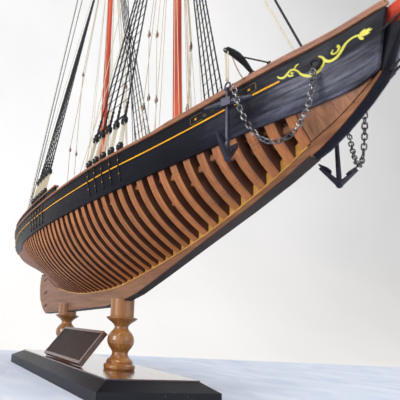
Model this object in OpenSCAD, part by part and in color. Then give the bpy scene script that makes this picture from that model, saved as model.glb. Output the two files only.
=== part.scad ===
// Plank-on-frame model of a two-masted fishing schooner on a turned display stand.
// Origin: centre of the underside of the base board. +X is the bow, +Y port, +Z up. Millimetres.

/* [Hull] */
// length of the hull along the rail, stem head to taffrail
hull_len = 605; // [450:5:800]
// greatest width over the frames
hull_beam = 121; // [90:1:160]
// stem head ahead of the middle of the stand
stem_x = 292.6; // [240:0.2:340]
// half thickness of keel, stem and sternpost
keel_half = 3; // [2:0.1:5]
// thickness of the painted planking
plank_t = 1.6; // [0.8:0.1:3]
// thickness of the deck
deck_t = 1.6; // [0.8:0.1:3]
// drop from the rail to the main deck
bulwark_h = 11; // [8:0.5:16]
// drop from the rail to the raised quarterdeck
quarter_h = 8.4; // [6:0.1:12]
// drop from the rail to the seam between wale and bulwark planking
seam_drop = 9.6; // [8:0.1:12]

/* [Frames] */
// number of open frames
frame_count = 38; // [20:1:44]
// distance from one frame to the next
frame_pitch = 9.7; // [8:0.1:14]
// width of a frame along the hull
frame_siding = 4.7; // [2:0.1:6]
// position of the foremost frame
frame_first_x = 250.6; // [230:0.1:260]
// depth of a frame at its foot
frame_foot = 7.5; // [5:0.1:10]
// depth of a frame at its head
frame_head = 4; // [3:0.1:6]

/* [Stand] */
// length of the base board
base_len = 248.9; // [200:1:320]
// width of the base board
base_w = 90.7; // [70:1:130]
// thickness of the base board
base_t = 14; // [10:0.5:20]
// width of the bevel seen from above
bevel_in = 10.4; // [5:0.1:15]
// height of the bevel
bevel_h = 5.7; // [3:0.1:10]
// position of the fore pedestal
ped_fore_x = 57.1; // [40:0.1:80]
// position of the aft pedestal
ped_aft_x = -81.1; // [-100:0.1:-60]
// radius of the sharp flange under the keel cradle
ped_flange_r = 12.4; // [9:0.1:16]

/* [Masts] */
// foremast position at the rail
fore_x = 134; // [120:0.5:150]
// mainmast position at the rail
main_x = -9; // [-30:0.5:10]
// foremast rake aft, degrees
fore_rake = 2.8; // [0:0.1:6]
// mainmast rake aft, degrees
main_rake = 3.6; // [0:0.1:6]
// lower mast radius at the deck
mast_r = 3.5; // [2.5:0.1:5]
// height of the foremast cap above the datum
fore_cap_z = 490; // [380:1:520]
// height of the mainmast cap above the datum
main_cap_z = 535; // [420:1:560]
// foremast truck height
fore_truck_z = 655; // [560:1:720]
// mainmast truck height
main_truck_z = 725; // [600:1:800]
// length of mast doubling
doubling = 36; // [25:1:50]

/* [Spars] */
// bowsprit radius
sprit_r = 3.6; // [2.5:0.1:5]
// bowsprit length outside the stem
sprit_out = 74; // [50:1:110]
// bowsprit angle above level
sprit_steeve = 11; // [5:0.5:20]
// main boom length
main_boom_len = 320; // [240:1:345]
// fore boom length
fore_boom_len = 124; // [100:1:130]
// main gaff length
main_gaff_len = 190; // [150:1:230]
// fore gaff length
fore_gaff_len = 118; // [90:1:135]
// boom radius
boom_r = 2.5; // [2:0.1:3.5]
// gaff radius
gaff_r = 2; // [1.5:0.1:3]
// gaff angle above level
gaff_peak = 38; // [20:1:55]

/* [Ground tackle] */
// length of an anchor shank
shank_len = 36; // [20:0.5:40]
// radius of a chain wire
chain_wire = 0.4; // [0.3:0.05:0.8]
// distance from one chain link to the next
chain_pitch = 2.6; // [2:0.1:4]

/* [Hidden] */
$fn = 48;
gap = 0.06;
half_beam = hull_beam / 2;
plank_gap = 0.25;
deck_edge = 0.4;

// hull offsets: fraction of length aft of the stem head, then value
breadth_t = [[-0.004, 0.03], [0, 0.05], [0.03, 0.132], [0.074, 0.298], [0.14, 0.487], [0.208, 0.653], [0.29, 0.843], [0.4, 0.962],
             [0.5, 1], [0.6, 0.975], [0.7, 0.885], [0.8, 0.7], [0.9, 0.485], [1, 0.285]];
rail_t = [[0, 174], [0.05, 168.5], [0.1, 163.9], [0.153, 159.5], [0.213, 156], [0.318, 151], [0.484, 146],
          [0.65, 144.5], [0.814, 147.5], [1, 156]];
rabbet_t = [[0, 165], [0.006, 151.5], [0.0142, 147.2], [0.04, 138], [0.07, 130.6], [0.102, 121.9], [0.166, 108.2],
            [0.23, 97], [0.32, 85], [0.4, 76.8], [0.47, 74.3], [0.55, 74.2], [0.64, 79.3], [0.7, 86.5],
            [0.756, 97], [0.82, 107.6], [0.88, 117.2], [0.946, 129], [1, 139]];
band_t = [[0, 26], [0.06, 24], [0.12, 22.5], [0.3, 21.6], [0.5, 20.6], [0.7, 19.6], [1, 17]];
// section shape controls as fractions of local width and height
low_out_t = [[0, 0.45], [0.1, 0.55], [0.3, 0.56], [0.48, 0.58], [0.62, 0.42], [0.72, 0.2], [0.8, 0.3], [0.88, 0.5], [1, 0.6]];
low_up_t = [[0, 0.25], [0.1, 0.22], [0.3, 0.22], [0.48, 0.205], [0.62, 0.25], [0.72, 0.36], [0.8, 0.14], [0.88, 0.03], [1, 0]];
high_out_t = [[0, 0.9], [0.1, 1.03], [0.3, 0.94], [0.48, 0.98], [0.62, 0.98], [0.72, 0.9], [0.8, 0.92], [0.88, 0.98], [1, 1]];
high_up_t = [[0, 0.5], [0.1, 0.45], [0.3, 0.45], [0.48, 0.417], [0.62, 0.42], [0.72, 0.42], [0.8, 0.36], [0.88, 0.3], [1, 0.4]];

function knot(v, t, k = 0) = (k >= len(t) - 2 || v <= t[k + 1][0]) ? k : knot(v, t, k + 1);
function grade(t, k) = let (a = max(k - 1, 0), b = min(k + 1, len(t) - 1)) (t[b][1] - t[a][1]) / (t[b][0] - t[a][0]);
function herm(t, k, u, h) = (2 * u * u * u - 3 * u * u + 1) * t[k][1] + (u * u * u - 2 * u * u + u) * h * grade(t, k)
    + (3 * u * u - 2 * u * u * u) * t[k + 1][1] + (u * u * u - u * u) * h * grade(t, k + 1);
function fair(v, t) = v <= t[0][0] ? t[0][1] : v >= t[len(t) - 1][0] ? t[len(t) - 1][1]
    : let (k = knot(v, t), h = t[k + 1][0] - t[k][0]) herm(t, k, (v - t[k][0]) / h, h);
function frac(x) = (stem_x - x) / hull_len;
function rail_y(x) = half_beam * fair(frac(x), breadth_t);
function rail_z(x) = fair(frac(x), rail_t);
function rabbet_z(x) = fair(frac(x), rabbet_t);
function band_z(x) = max(rail_z(x) - fair(frac(x), band_t), rabbet_z(x) + 0.6);
function seam_z(x) = rail_z(x) - seam_drop;

// a transverse section as a cubic curve from rabbet to rail
function corner(x) = let (f = frac(x), k = min(keel_half + 0.3, rail_y(x) - 0.2), w = rail_y(x) - k, z = rabbet_z(x), h = rail_z(x) - z)
    [[k, z], [k + fair(f, low_out_t) * w, z + fair(f, low_up_t) * h],
     [k + fair(f, high_out_t) * w, z + fair(f, high_up_t) * h], [rail_y(x), rail_z(x)]];
function bez(p, u) = (1 - u) * (1 - u) * (1 - u) * p[0] + 3 * u * (1 - u) * (1 - u) * p[1] + 3 * u * u * (1 - u) * p[2] + u * u * u * p[3];
function dbez(p, u) = (1 - u) * (1 - u) * (p[1] - p[0]) + 2 * u * (1 - u) * (p[2] - p[1]) + u * u * (p[3] - p[2]);
function seek(p, z, lo = 0, hi = 1, n = 16) = n == 0 ? (lo + hi) / 2
    : let (m = (lo + hi) / 2) bez(p, m)[1] < z ? seek(p, z, m, hi, n - 1) : seek(p, z, lo, m, n - 1);
function hull_y(x, z) = let (p = corner(x)) bez(p, seek(p, z))[0];
function steps(a, b, n) = [for (i = [0:n]) a + (b - a) * i / n];

// closed skin through equal rings of points; side +1 is port, -1 is starboard
module loft(rings, side = 1) {
    n = len(rings[0]);
    m = len(rings);
    mirror([0, side < 0 ? 1 : 0, 0])
        polyhedron(
            points = [for (r = rings) each r],
            faces = concat(
                [for (i = [0:m - 2], j = [0:n - 1]) let (a = i * n + j, b = i * n + (j + 1) % n) [a, b, b + n]],
                [for (i = [0:m - 2], j = [0:n - 1]) let (a = i * n + j, b = i * n + (j + 1) % n) [a, b + n, a + n]],
                [[for (j = [n - 1:-1:0]) j]],
                [[for (j = [0:n - 1]) (m - 1) * n + j]]),
            convexity = 6);
}
// plate standing in the XZ plane, centred on Y
module plate(pts, half) {
    rotate([90, 0, 0]) linear_extrude(2 * half, center = true) polygon(pts);
}
// straight round bar between two points
module bar(a, b, r, r2 = -1, n = 24) {
    d = b - a;
    l = norm(d);
    translate(a) rotate([0, acos(d[2] / l), atan2(d[1], d[0])]) cylinder(h = l, r1 = r, r2 = r2 < 0 ? r : r2, $fn = n);
}
module both() {
    children();
    mirror([0, 1, 0]) children();
}

// ---------------------------------------------------------------- stand
base_top = base_t - 0.9;
ped_seat_z = base_t + 0.02;
screw_r = 1.5;
module base_board() color([0.05, 0.05, 0.07]) {
    difference() {
        intersection() {
            rotate([90, 0, 0]) linear_extrude(base_w + 2, center = true) polygon([
                [-base_len / 2, 0], [base_len / 2, 0], [base_len / 2, base_top - bevel_h],
                [base_len / 2 - bevel_in, base_top], [-base_len / 2 + bevel_in, base_top], [-base_len / 2, base_top - bevel_h]]);
            rotate([90, 0, 90]) linear_extrude(base_len + 2, center = true) polygon([
                [-base_w / 2, 0], [base_w / 2, 0], [base_w / 2, base_top - bevel_h],
                [base_w / 2 - bevel_in, base_top], [-base_w / 2 + bevel_in, base_top], [-base_w / 2, base_top - bevel_h]]);
        }
        for (x = [ped_fore_x, ped_aft_x]) {
            translate([x, 0, -1]) cylinder(h = base_t + 2, r = screw_r + gap);
            translate([x, 0, -1]) cylinder(h = 4, r = 4);
        }
    }
}
module base_top_panel() color([0.3, 0.2, 0.16]) {
    difference() {
        translate([0, 0, base_t - 0.45]) cube([base_len - 2 * bevel_in, base_w - 2 * bevel_in, 0.88], center = true);
        for (x = [ped_fore_x, ped_aft_x]) translate([x, 0, 0]) cylinder(h = base_t + 2, r = screw_r + gap);
    }
}
// turned profile of a pedestal, radius then height above the base
ped_profile = [[0, 0], [11.6, 0], [12.2, 1.2], [12.2, 3], [11.2, 4], [10.2, 4.6], [10.4, 5.6], [9.6, 7], [7.6, 8.6],
               [6.4, 10.5], [6.2, 12.5], [7.2, 14.2], [9, 16.4], [10.3, 19], [10.6, 21.6], [10, 24.4], [8.4, 27],
               [6.6, 28.8], [5.6, 30.2], [5.4, 31.6], [6.2, 33], [8, 34.6], [10.8, 36.4], [ped_flange_r, 38],
               [ped_flange_r, 38.5], [9.4, 39.2], [9.4, 52.8], [0, 52.8]];
fork_top = 66.8;
module pedestal(x) difference() {
    translate([x, 0, ped_seat_z]) rotate_extrude($fn = 64) polygon(ped_profile);
    plate([for (q = concat([[-160, 53.2]], shoe_bottom, [[260, 140], [-160, 140]])) q - [0, 0.05]], keel_half + 0.25);
    translate([x, 0, 0]) cylinder(h = 30, r = screw_r + gap);
}
module fore_pedestal() color([0.6, 0.33, 0.13]) pedestal(ped_fore_x);
module aft_pedestal() color([0.6, 0.33, 0.13]) difference() {
    pedestal(ped_aft_x);
    translate([ped_aft_x, 0, fork_top - 2 + 10]) cube([40, 40, 20], center = true);
}
module pedestal_screws() color([0.75, 0.7, 0.5])
    for (x = [ped_fore_x, ped_aft_x]) translate([x, 0, 1]) {
        cylinder(h = 1.95, r = 3.4);
        cylinder(h = 26, r = screw_r);
    }
plaque_at = [3, -30.2, base_t + 1.35];
plaque_tilt = 38;
plaque_len = 98;
plaque_h = 31.5;
module on_plaque() translate(plaque_at) rotate([90 - plaque_tilt, 0, 0]) children();
module plaque_frame() color([0.45, 0.26, 0.15]) {
    on_plaque() translate([0, plaque_h / 2, 0]) difference() {
        cube([plaque_len, plaque_h, 4], center = true);
        translate([0, 0, 1.5]) cube([plaque_len - 5, plaque_h - 5, 2.2], center = true);
    }
}
module plaque_plate() color([0.16, 0.1, 0.09])
    on_plaque() translate([0, plaque_h / 2, 1]) cube([plaque_len - 5.3, plaque_h - 5.3, 1.1], center = true);

// ---------------------------------------------------------------- backbone
heel = [-158, 53.3];
post_head = [-176.5, 108];
post_v = (post_head - heel) / norm(post_head - heel);
keel_bottom = [[-157, 54.3], [-51, 58], [30, 61.5], [66.4, 66.4], [87.7, 71], [124.7, 82.6], [167.6, 96.6], [210.9, 110.5],
               [236.1, 119.3], [252, 125.9]];
shoe_bottom = [for (p = keel_bottom) p - [0, 1]];
keel_fore_x = 252;
keel_aft_x = -150;
module keel() color([0.45, 0.27, 0.15])
    plate(concat(keel_bottom, [for (x = steps(keel_fore_x, keel_aft_x, 60)) [x, rabbet_z(x) - 1.1]]), keel_half);
module keel_shoe() color([0.16, 0.14, 0.14])
    plate(concat(shoe_bottom, [for (i = [len(keel_bottom) - 1:-1:0]) keel_bottom[i] - [0, 0.03]]), keel_half + 0.15);
stem_seam = [[252.1, 125.2], [258, 127.5], [267.5, 132.6], [279.6, 140.9], [286.4, 146.9], [288, 148.8]];
stem_inner_end = 288;
module stem() color([0.5, 0.3, 0.16])
    plate(concat(stem_seam, [for (x = steps(stem_inner_end - 0.2, keel_fore_x + 0.1, 14)) [x, rabbet_z(x) - 0.1]]), keel_half);
cutwater_edge = [[253.7, 124.2], [259.1, 126], [268.5, 131.1], [274.7, 135.2], [280.8, 139.6], [287.8, 145.5],
                 [290.2, 150.2], [297.5, 167.6]];
cutwater_back = [[253.2, 125.4], [258.5, 127.2], [267.8, 132.2], [274, 136.3], [280, 140.6], [286.8, 146.6],
                 [288.4, 149], [288.4, 167.4]];
edge_half = 0.9;
module cutwater() color([0.06, 0.06, 0.09])
    loft([for (i = [len(cutwater_edge) - 1:-1:0]) let (e = cutwater_edge[i], r = cutwater_back[i], w = keel_half - 0.2)
        [[r[0], w, r[1]], [e[0], edge_half, e[1]], [e[0], -edge_half, e[1]], [r[0], -w, r[1]]]]);
keel_heel = keel_bottom[0];
post_gap = 0.08;
module sternpost() color([0.55, 0.36, 0.24])
    plate([heel, keel_heel - [post_gap, 1], keel_heel - [post_gap, 0], [keel_aft_x - post_gap, rabbet_z(keel_aft_x) - 1.1],
           [-165, rabbet_z(-165) - 0.6], post_head + [1, -3.6], post_head + [0, -3.6]], keel_half);
wood_top = 6;
module rising_wood() color([0.75, 0.52, 0.24]) {
    xs = steps(251, -112, 60);
    plate(concat([for (x = xs) [x, rabbet_z(x) - 0.95]], [for (i = [len(xs) - 1:-1:0]) [xs[i], rabbet_z(xs[i]) - 0.1]]), keel_half + 0.25);
    plate(concat([for (x = xs) [x, rabbet_z(x) - 0.5]], [for (i = [len(xs) - 1:-1:0]) [xs[i], rabbet_z(xs[i]) + wood_top]]), keel_half - 0.5);
}

// ---------------------------------------------------------------- frames
function deck_z(x) = rail_z(x) - (x < break_x ? quarter_h : bulwark_h);
break_x = -36;
frame_low = 1.2;
function narrow_x(x) = x > -20 ? x + frame_siding / 2 + 0.1 : x - frame_siding / 2 - 0.1;
function frame_top(x) = min(deck_z(x - frame_siding), deck_z(x + frame_siding), rail_z(x) - bulwark_h) - deck_t - 0.3;
module frame_half(x) {
    p = corner(narrow_x(x));
    u_top = seek(p, frame_top(x));
    n = 10;
    us = [for (i = [0:n]) u_top * i / n];
    outer = [for (u = us) bez(p, u)];
    inner = [for (i = [n:-1:0]) let (d = dbez(p, us[i]), l = norm(d), e = frame_foot + (frame_head - frame_foot) * us[i] / u_top,
        q = bez(p, us[i]) + e * [-d[1], d[0]] / l) [max(q[0], 0), min(q[1], frame_top(x))]];
    polygon(concat([[0, p[0][1]]], outer, inner, [[0, inner[n][1] + 1]]));
}
module frame(x) {
    foot = max(rabbet_z(x - frame_siding / 2), rabbet_z(x + frame_siding / 2));
    translate([x, 0, 0]) rotate([90, 0, 90]) linear_extrude(frame_siding, center = true) difference() {
        union() {
            frame_half(x);
            mirror([1, 0]) frame_half(x);
        }
        translate([-keel_half - 5, foot - 40 + 0.05]) square([2 * keel_half + 10, 40]);
        translate([-keel_half + 0.4, foot - 10]) square([2 * keel_half - 0.8, 10 + wood_top + 0.2]);
    }
}
module frames() color([0.72, 0.47, 0.27])
    for (i = [0:frame_count - 1]) frame(frame_first_x - i * frame_pitch);

// a long strip lying inside the frames at a height given below the rail
function inside(x, z, e) = let (p = corner(x), u = seek(p, z), d = dbez(p, u), l = norm(d)) bez(p, u) + e * [-d[1], d[0]] / l;
module strip(x0, x1, n, drop0, drop1, h, t) {
    both() loft([for (x = steps(x0, x1, n)) let (f = (x - x0) / (x1 - x0), z = rail_z(x) - drop0 - (drop1 - drop0) * f,
        a = inside(x, z, frame_foot + 0.6), b = inside(x, z + h, frame_foot + 0.6), c = inside(x, z + h, frame_foot + 0.6 + t),
        d = inside(x, z, frame_foot + 0.6 + t)) [[x, a[0], a[1]], [x, b[0], b[1]], [x, c[0], c[1]], [x, d[0], d[1]]]]);
}
module stringers() color([0.6, 0.34, 0.2]) {
    strip(238, -108, 30, 24.5, 24.5, 4, 2);
    strip(150, -100, 24, 46, 44, 3, 1.8);
}

// ---------------------------------------------------------------- solid ends
fill_in = 0.6;
module filler(x0, x1, n, y_in, drop) {
    both() loft([for (x = steps(x0, x1, n)) let (p = corner(x), top = seek(p, deck_z(x) - drop), m = 9)
        concat([[x, y_in, bez(p, 0)[1] + 0.1]], [for (i = [0:m]) let (q = bez(p, top * i / m)) [x, max(q[0] - fill_in, y_in + 0.1), q[1] + 0.1]],
            [[x, y_in, bez(p, top)[1] + 0.1]])]);
}
module bow_filler() color([0.66, 0.42, 0.25]) filler(284, 253.4, 10, keel_half + 0.3, deck_t + 0.5);
tiller_r = 2.2;
module stern_filler() color([0.5, 0.28, 0.18]) difference() {
    union() {
        filler(-111.3, -309.6, 30, 0.01, deck_t + 0.5);
        translate([-200, 0, 131]) cube([177, 0.2, 6.4], center = true);
    }
    plate([[-100, 60], [-100, rabbet_z(-111) + wood_top - 3], [-125, 92], [-150, 103], [-165, 108], [-179, 113.5], [-183, 113.5], [-183, 106.3], [-175, 100], [-150, 60]], keel_half + 0.1);
    bar(tiller_at(-9), tiller_at(60), tiller_r + 0.4);
    translate([-200, 0, 0]) cube([24, 5, 215], center = true);
}
function tiller_at(s) = [post_head[0] - 3.1, 0, post_head[1] - 4] + s * [post_v[0], 0, post_v[1]];

// ---------------------------------------------------------------- planking
// skin between two heights; heights are given by functions of kind: 0 band foot, 1 seam, 2 rail
function level(x, kind) = kind == 0 ? band_z(x) : kind == 1 ? seam_z(x) : rail_z(x) - 0.1;
module skin(kind_lo, kind_hi, m, y_extra, x0, x1, n) {
    loft([for (x = steps(x0, x1, n)) let (lo = level(x, kind_lo), hi = max(level(x, kind_hi) - gap, lo + 0.5))
        concat([for (i = [0:m]) let (z = lo + (hi - lo) * i / m) [lean(x, z), hull_y(x, z) + plank_gap + y_extra + plank_t, z]],
            [for (i = [m:-1:0]) let (z = lo + (hi - lo) * i / m) [lean(x, z), hull_y(x, z) + plank_gap + y_extra, z]])]);
}
// the plank ends lean forward with the stem
lean_from = 262;
function lean(x, z) = x + (x < lean_from ? 0 : pow((x - lean_from) / (plank_x0 - lean_from), 2) * (z - 148) * 0.27);
plank_x0 = 287.6;
plank_x1 = -309.6;
module port_wale() color([0.07, 0.07, 0.1]) skin(0, 1, 3, 0, plank_x0, plank_x1, 56);
module starboard_wale() color([0.07, 0.07, 0.1]) mirror([0, 1, 0]) skin(0, 1, 3, 0, plank_x0, plank_x1, 56);
module port_bulwark() color([0.06, 0.06, 0.08]) skin(1, 2, 2, -0.1, plank_x0, plank_x1, 56);
module starboard_bulwark() color([0.06, 0.06, 0.08]) mirror([0, 1, 0]) skin(1, 2, 2, -0.1, plank_x0, plank_x1, 56);
module transom() color([0.06, 0.06, 0.08]) {
    p = corner(-309.6);
    pts = [for (i = [0:10]) bez(p, i / 10) + [plank_gap + plank_t, -0.3]];
    rim = [for (q = pts) [q[0], min(q[1], rail_z(-309.6) - 0.1)]];
    translate([-311, 0, 0]) rotate([90, 0, 90]) linear_extrude(2.4, center = true)
        polygon(concat(rim, [for (i = [len(rim) - 1:-1:0]) [-rim[i][0], rim[i][1]]]));
}

// ---------------------------------------------------------------- decks
module deck_piece(x0, x1, n) {
    loft([for (x = steps(x0, x1, n)) let (z = deck_z(x0 - 0.01 > break_x ? max(x, break_x + 0.01) : min(x, break_x - 0.01)),
        y = hull_y(x, z - deck_t) - deck_edge)
        [[x, y, z - deck_t], [x, y, z], [x, -y, z], [x, -y, z - deck_t]]]);
}
module mast_bore(x, rake, r) {
    translate([x + sin(rake) * 60, 0, rail_z(x) - cos(rake) * 60]) rotate([0, -rake, 0]) cylinder(h = 120, r = r);
}
module main_deck() color([0.78, 0.6, 0.38]) difference() {
    deck_piece(281, break_x + 0.1, 40);
    mast_bore(fore_x, fore_rake, mast_r + 0.15);
    mast_bore(main_x, main_rake, mast_r + 0.15);
}
module quarterdeck() color([0.78, 0.6, 0.38]) difference() {
    deck_piece(break_x - 0.1, -309, 34);
    bar(tiller_at(-2), tiller_at(60), tiller_r + 0.4);
}
module deck_beams() color([0.6, 0.4, 0.24]) difference() {
    for (i = [0:frame_count - 2]) let (x = frame_first_x - (i + 0.5) * frame_pitch,
        z = min(deck_z(x - 1.6), deck_z(x + 1.6)) - deck_t - 0.3, y = min(hull_y(x - 1.5, z - 2.6), hull_y(x + 1.5, z - 2.6)) - 1)
        translate([x, 0, z - 1.3]) cube([3, 2 * y, 2.6], center = true);
    mast_bore(fore_x, fore_rake, mast_r + 0.3);
    mast_bore(main_x, main_rake, mast_r + 0.3);
}
stanchion_t = 2;
module stanchion(x) {
    zd = deck_z(x) + 0.05;
    zt = min(rail_z(x - 1), rail_z(x + 1)) - 0.15;
    y0 = min(hull_y(x - 1.2, zd), hull_y(x + 1.2, zd), hull_y(x, zd)) - 0.1;
    y1 = min(hull_y(x - 1.2, zt), hull_y(x + 1.2, zt)) - 0.1;
    b = max(deck_z(x - 1), deck_z(x + 1)) + 0.03;
    translate([x, 0, 0]) rotate([90, 0, 90]) linear_extrude(stanchion_t, center = true)
        polygon([[y0, b], [y1, zt], [y1 - 2, zt], [y0 - 2.2, b]]);
}
module bulwark_stanchions() color([0.85, 0.84, 0.8])
    both() for (i = [0:27]) let (x = 262 - i * 20.2) if (abs(x - break_x) > 3) stanchion(x);

// ---------------------------------------------------------------- rails
rail_t_mm = 1.8;
module rail_run(x0, x1, n, z_off, h, y_out, y_in) {
    loft([for (x = steps(x0, x1, n)) let (z = rail_z(x) + z_off, yi = max(rail_y(x) - y_in, sprit_r + 0.5), yo = max(rail_y(x) + y_out, yi + 1))
        [[x, yo, z], [x, yo, z + h], [x, yi, z + h], [x, yi, z]]]);
}
module port_rail() color([0.5, 0.31, 0.2]) {
    rail_run(294.5, plank_x1 - 2.4, 60, 0, rail_t_mm, 2.9, 2.6);
    rail_run(293.5, 176, 18, rail_t_mm - 0.1, 1.7, 2.6, 2.2);
}
module starboard_rail() color([0.5, 0.31, 0.2]) mirror([0, 1, 0]) {
    rail_run(294.5, plank_x1 - 2.4, 60, 0, rail_t_mm, 2.9, 2.6);
    rail_run(293.5, 176, 18, rail_t_mm - 0.1, 1.7, 2.6, 2.2);
}
monkey_h = 5.2;
monkey_x = 38;
module monkey_rails() color([0.07, 0.06, 0.07]) {
    both() rail_run(monkey_x, plank_x1 - 2.4, 36, rail_t_mm + gap, monkey_h, 1, 0.6);
    z = rail_z(plank_x1 - 2.4) + rail_t_mm + gap;
    y = rail_y(plank_x1) - 0.5;
    translate([plank_x1 - 1.6, 0, z + monkey_h / 2 - 0.15]) cube([1.6, 2 * y, monkey_h - 0.3], center = true);
}
cap_h = 1.3;
module monkey_caps() color([0.5, 0.31, 0.2]) {
    both() rail_run(monkey_x + 1.5, plank_x1 - 2.4, 36, rail_t_mm + 2 * gap + monkey_h, cap_h, 2, 1.8);
    z = rail_z(plank_x1 - 2.4) + rail_t_mm + 2 * gap + monkey_h;
    translate([plank_x1 - 1.6, 0, z + cap_h / 2]) cube([3.6, 2 * rail_y(plank_x1), cap_h], center = true);
}

// ---------------------------------------------------------------- deck fittings
function sole(x) = deck_z(x) + 0.05;
cabin_x = -150;
cabin_len = 58;
cabin_w = 34;
cabin_h = 9;
module cabin_trunk() color([0.9, 0.88, 0.82]) {
    z = sole(cabin_x - cabin_len / 2);
    translate([cabin_x, 0, z + cabin_h / 2 - 0.02]) cube([cabin_len, cabin_w, cabin_h], center = true);
    translate([cabin_x, 0, z + cabin_h + 0.6]) cube([cabin_len + 3, cabin_w + 3, 1.3], center = true);
    both() translate([cabin_x + 18, 7.6, z + cabin_h + 1.9]) cube([26, 1.2, 1.5], center = true);
    translate([cabin_x + 29.6, 0, z + 4.6]) cube([1.2, 13, 9], center = true);
}
module cabin_slide() color([0.5, 0.3, 0.18]) {
    z = sole(cabin_x - cabin_len / 2) + cabin_h + 1.33;
    difference() {
        translate([cabin_x + 24, 0, z + 1.7]) cube([14, 13.6, 3.4], center = true);
        translate([cabin_x + 24, 0, z + 0.9]) cube([20, 11.6, 1.9], center = true);
    }
}
module hatch(x, l, w, h) {
    z = max(sole(x - l / 2), sole(x + l / 2));
    difference() {
        translate([x, 0, z + h / 2]) cube([l, w, h], center = true);
        translate([x, 0, z + h]) cube([l - 3, w - 3, 2.4], center = true);
    }
    for (i = [-1:1]) translate([x, i * (w - 4) / 3, z + h + 0.1]) cube([l - 3.2, (w - 4) / 3 - 0.3, 1.5], center = true);
}
module main_hatch() color([0.55, 0.36, 0.22]) {
    hatch(34, 22, 22, 3.6);
    hatch(88, 16, 16, 3.6);
}
module forecastle_hatch() color([0.85, 0.83, 0.78]) {
    x = 172;
    top = sole(x) + 8.6;
    plate([[x - 8.5, sole(x - 8.5) + 0.05], [x + 8.5, sole(x + 8.5) + 0.05], [x + 8.5, top], [x - 8.5, top]], 7);
    translate([x, 0, top + 0.5]) cube([19, 16, 1.2], center = true);
}
windlass_x = 214;
windlass_z = deck_z(windlass_x) + 8;
module windlass_posts() color([0.5, 0.3, 0.18]) difference() {
    both() translate([windlass_x, 9.2, 0]) {
        translate([0, 0, deck_z(windlass_x) + 6.8]) cube([4, 2.6, 12.6], center = true);
        translate([-5, 0, deck_z(windlass_x) + 2.9]) cube([7, 2.2, 5], center = true);
    }
    translate([windlass_x, 0, windlass_z]) rotate([90, 0, 0]) cylinder(h = 60, r = 1.25, center = true);
}
module windlass_barrel() color([0.35, 0.22, 0.14])
    translate([windlass_x, 0, windlass_z]) rotate([90, 0, 0]) {
        cylinder(h = 28, r = 1.2, center = true);
        for (s = [-1, 1]) {
            translate([0, 0, s * 4.2]) cylinder(h = 7, r = 3.4, center = true, $fn = 8);
            translate([0, 0, s * 12.4]) cylinder(h = 3.2, r = 2.6, center = true, $fn = 8);
        }
        cylinder(h = 1.4, r = 4.6, center = true, $fn = 36);
    }
wheel_x = -236;
wheel_z = deck_z(wheel_x) + 10.4;
module wheel_box() color([0.5, 0.32, 0.2]) difference() {
    union() {
        translate([wheel_x - 15, 0, max(sole(wheel_x), sole(wheel_x - 26.4)) + 4.6]) cube([22, 12, 9.2], center = true);
        translate([wheel_x - 15, 0, max(sole(wheel_x), sole(wheel_x - 26.4)) + 11]) cube([20, 9, 4], center = true);
    }
    translate([wheel_x - 10, 0, wheel_z]) rotate([0, 90, 0]) cylinder(h = 22, r = 0.86, center = true);
}
module steering_wheel() color([0.28, 0.16, 0.1])
    translate([wheel_x, 0, wheel_z]) rotate([0, 90, 0]) {
        rotate_extrude($fn = 48) translate([6.6, 0]) square([1.3, 1.2], center = true);
        cylinder(h = 2, r = 1.6, center = true);
        translate([0, 0, -7.5]) cylinder(h = 7.5, r = 0.8);
        for (a = [0:45:315]) rotate([0, 0, a]) rotate([0, 90, 0]) cylinder(h = 9, r = 0.38, $fn = 16);
    }
module deck_pumps() color([0.35, 0.22, 0.14]) {
    both() translate([-27, 6, sole(-25) + 0.05]) {
        cylinder(h = 6.5, r = 1.7);
        translate([0, 0, 6.4]) cylinder(h = 1.2, r = 2.1);
    }
    for (m = [[fore_x - 9, 9], [main_x + 9, 9]]) both() translate([m[0], m[1], sole(m[0] + 1.2) + 0.05]) {
        translate([0, 0, 4]) cube([2, 2, 8], center = true);
    }
    for (x = [fore_x - 9, main_x + 9]) translate([x, 0, sole(x) + 8.6]) cube([2.6, 22, 1.6], center = true);
}

// ---------------------------------------------------------------- rudder
rudder_gap = 0.35;
module rudder() color([0.5, 0.32, 0.2]) {
    r0 = heel + [-1.9, 0.2];
    r1 = post_head + [-1.9, -5] - 3.6 * post_v;
    plate([r0, r1, r1 + [-8, 0.5], [-196.5, 103], [-199.3, 94], [-198.6, 83], [-191.5, 70.5], [-178, 60.5], [-168, 56], [-160.5, 53.7]], 2.3);
    bar(tiller_at(-12), tiller_at(37), tiller_r);
}

// ---------------------------------------------------------------- masts
function mast_pt(x, rake, z) = [x - tan(rake) * (z - rail_z(x)), 0, z];
function fore_pt(z) = mast_pt(fore_x, fore_rake, z);
function main_pt(z) = mast_pt(main_x, main_rake, z);
head_r = 2.6;
topmast_gap = 6.6;
module fore_mast() color([0.75, 0.2, 0.07]) {
    bar(fore_pt(112), fore_pt(fore_cap_z - doubling), mast_r, mast_r - 0.5, 36);
    bar(fore_pt(fore_cap_z - doubling - 1), fore_pt(fore_cap_z + 2), head_r, head_r, 36);
}
module main_mast() color([0.75, 0.2, 0.07]) {
    bar(main_pt(96), main_pt(main_cap_z - doubling), mast_r, mast_r - 0.5, 36);
    bar(main_pt(main_cap_z - doubling - 1), main_pt(main_cap_z + 2), head_r, head_r, 36);
}
ahead = [topmast_gap, 0, 0];
module fore_topmast() color([0.75, 0.2, 0.07])
    bar(fore_pt(fore_cap_z - doubling - 6) + ahead, fore_pt(fore_truck_z) + ahead, 2.2, 1, 32);
module main_topmast() color([0.75, 0.2, 0.07])
    bar(main_pt(main_cap_z - doubling - 6) + ahead, main_pt(main_truck_z) + ahead, 2.2, 1, 32);
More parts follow.
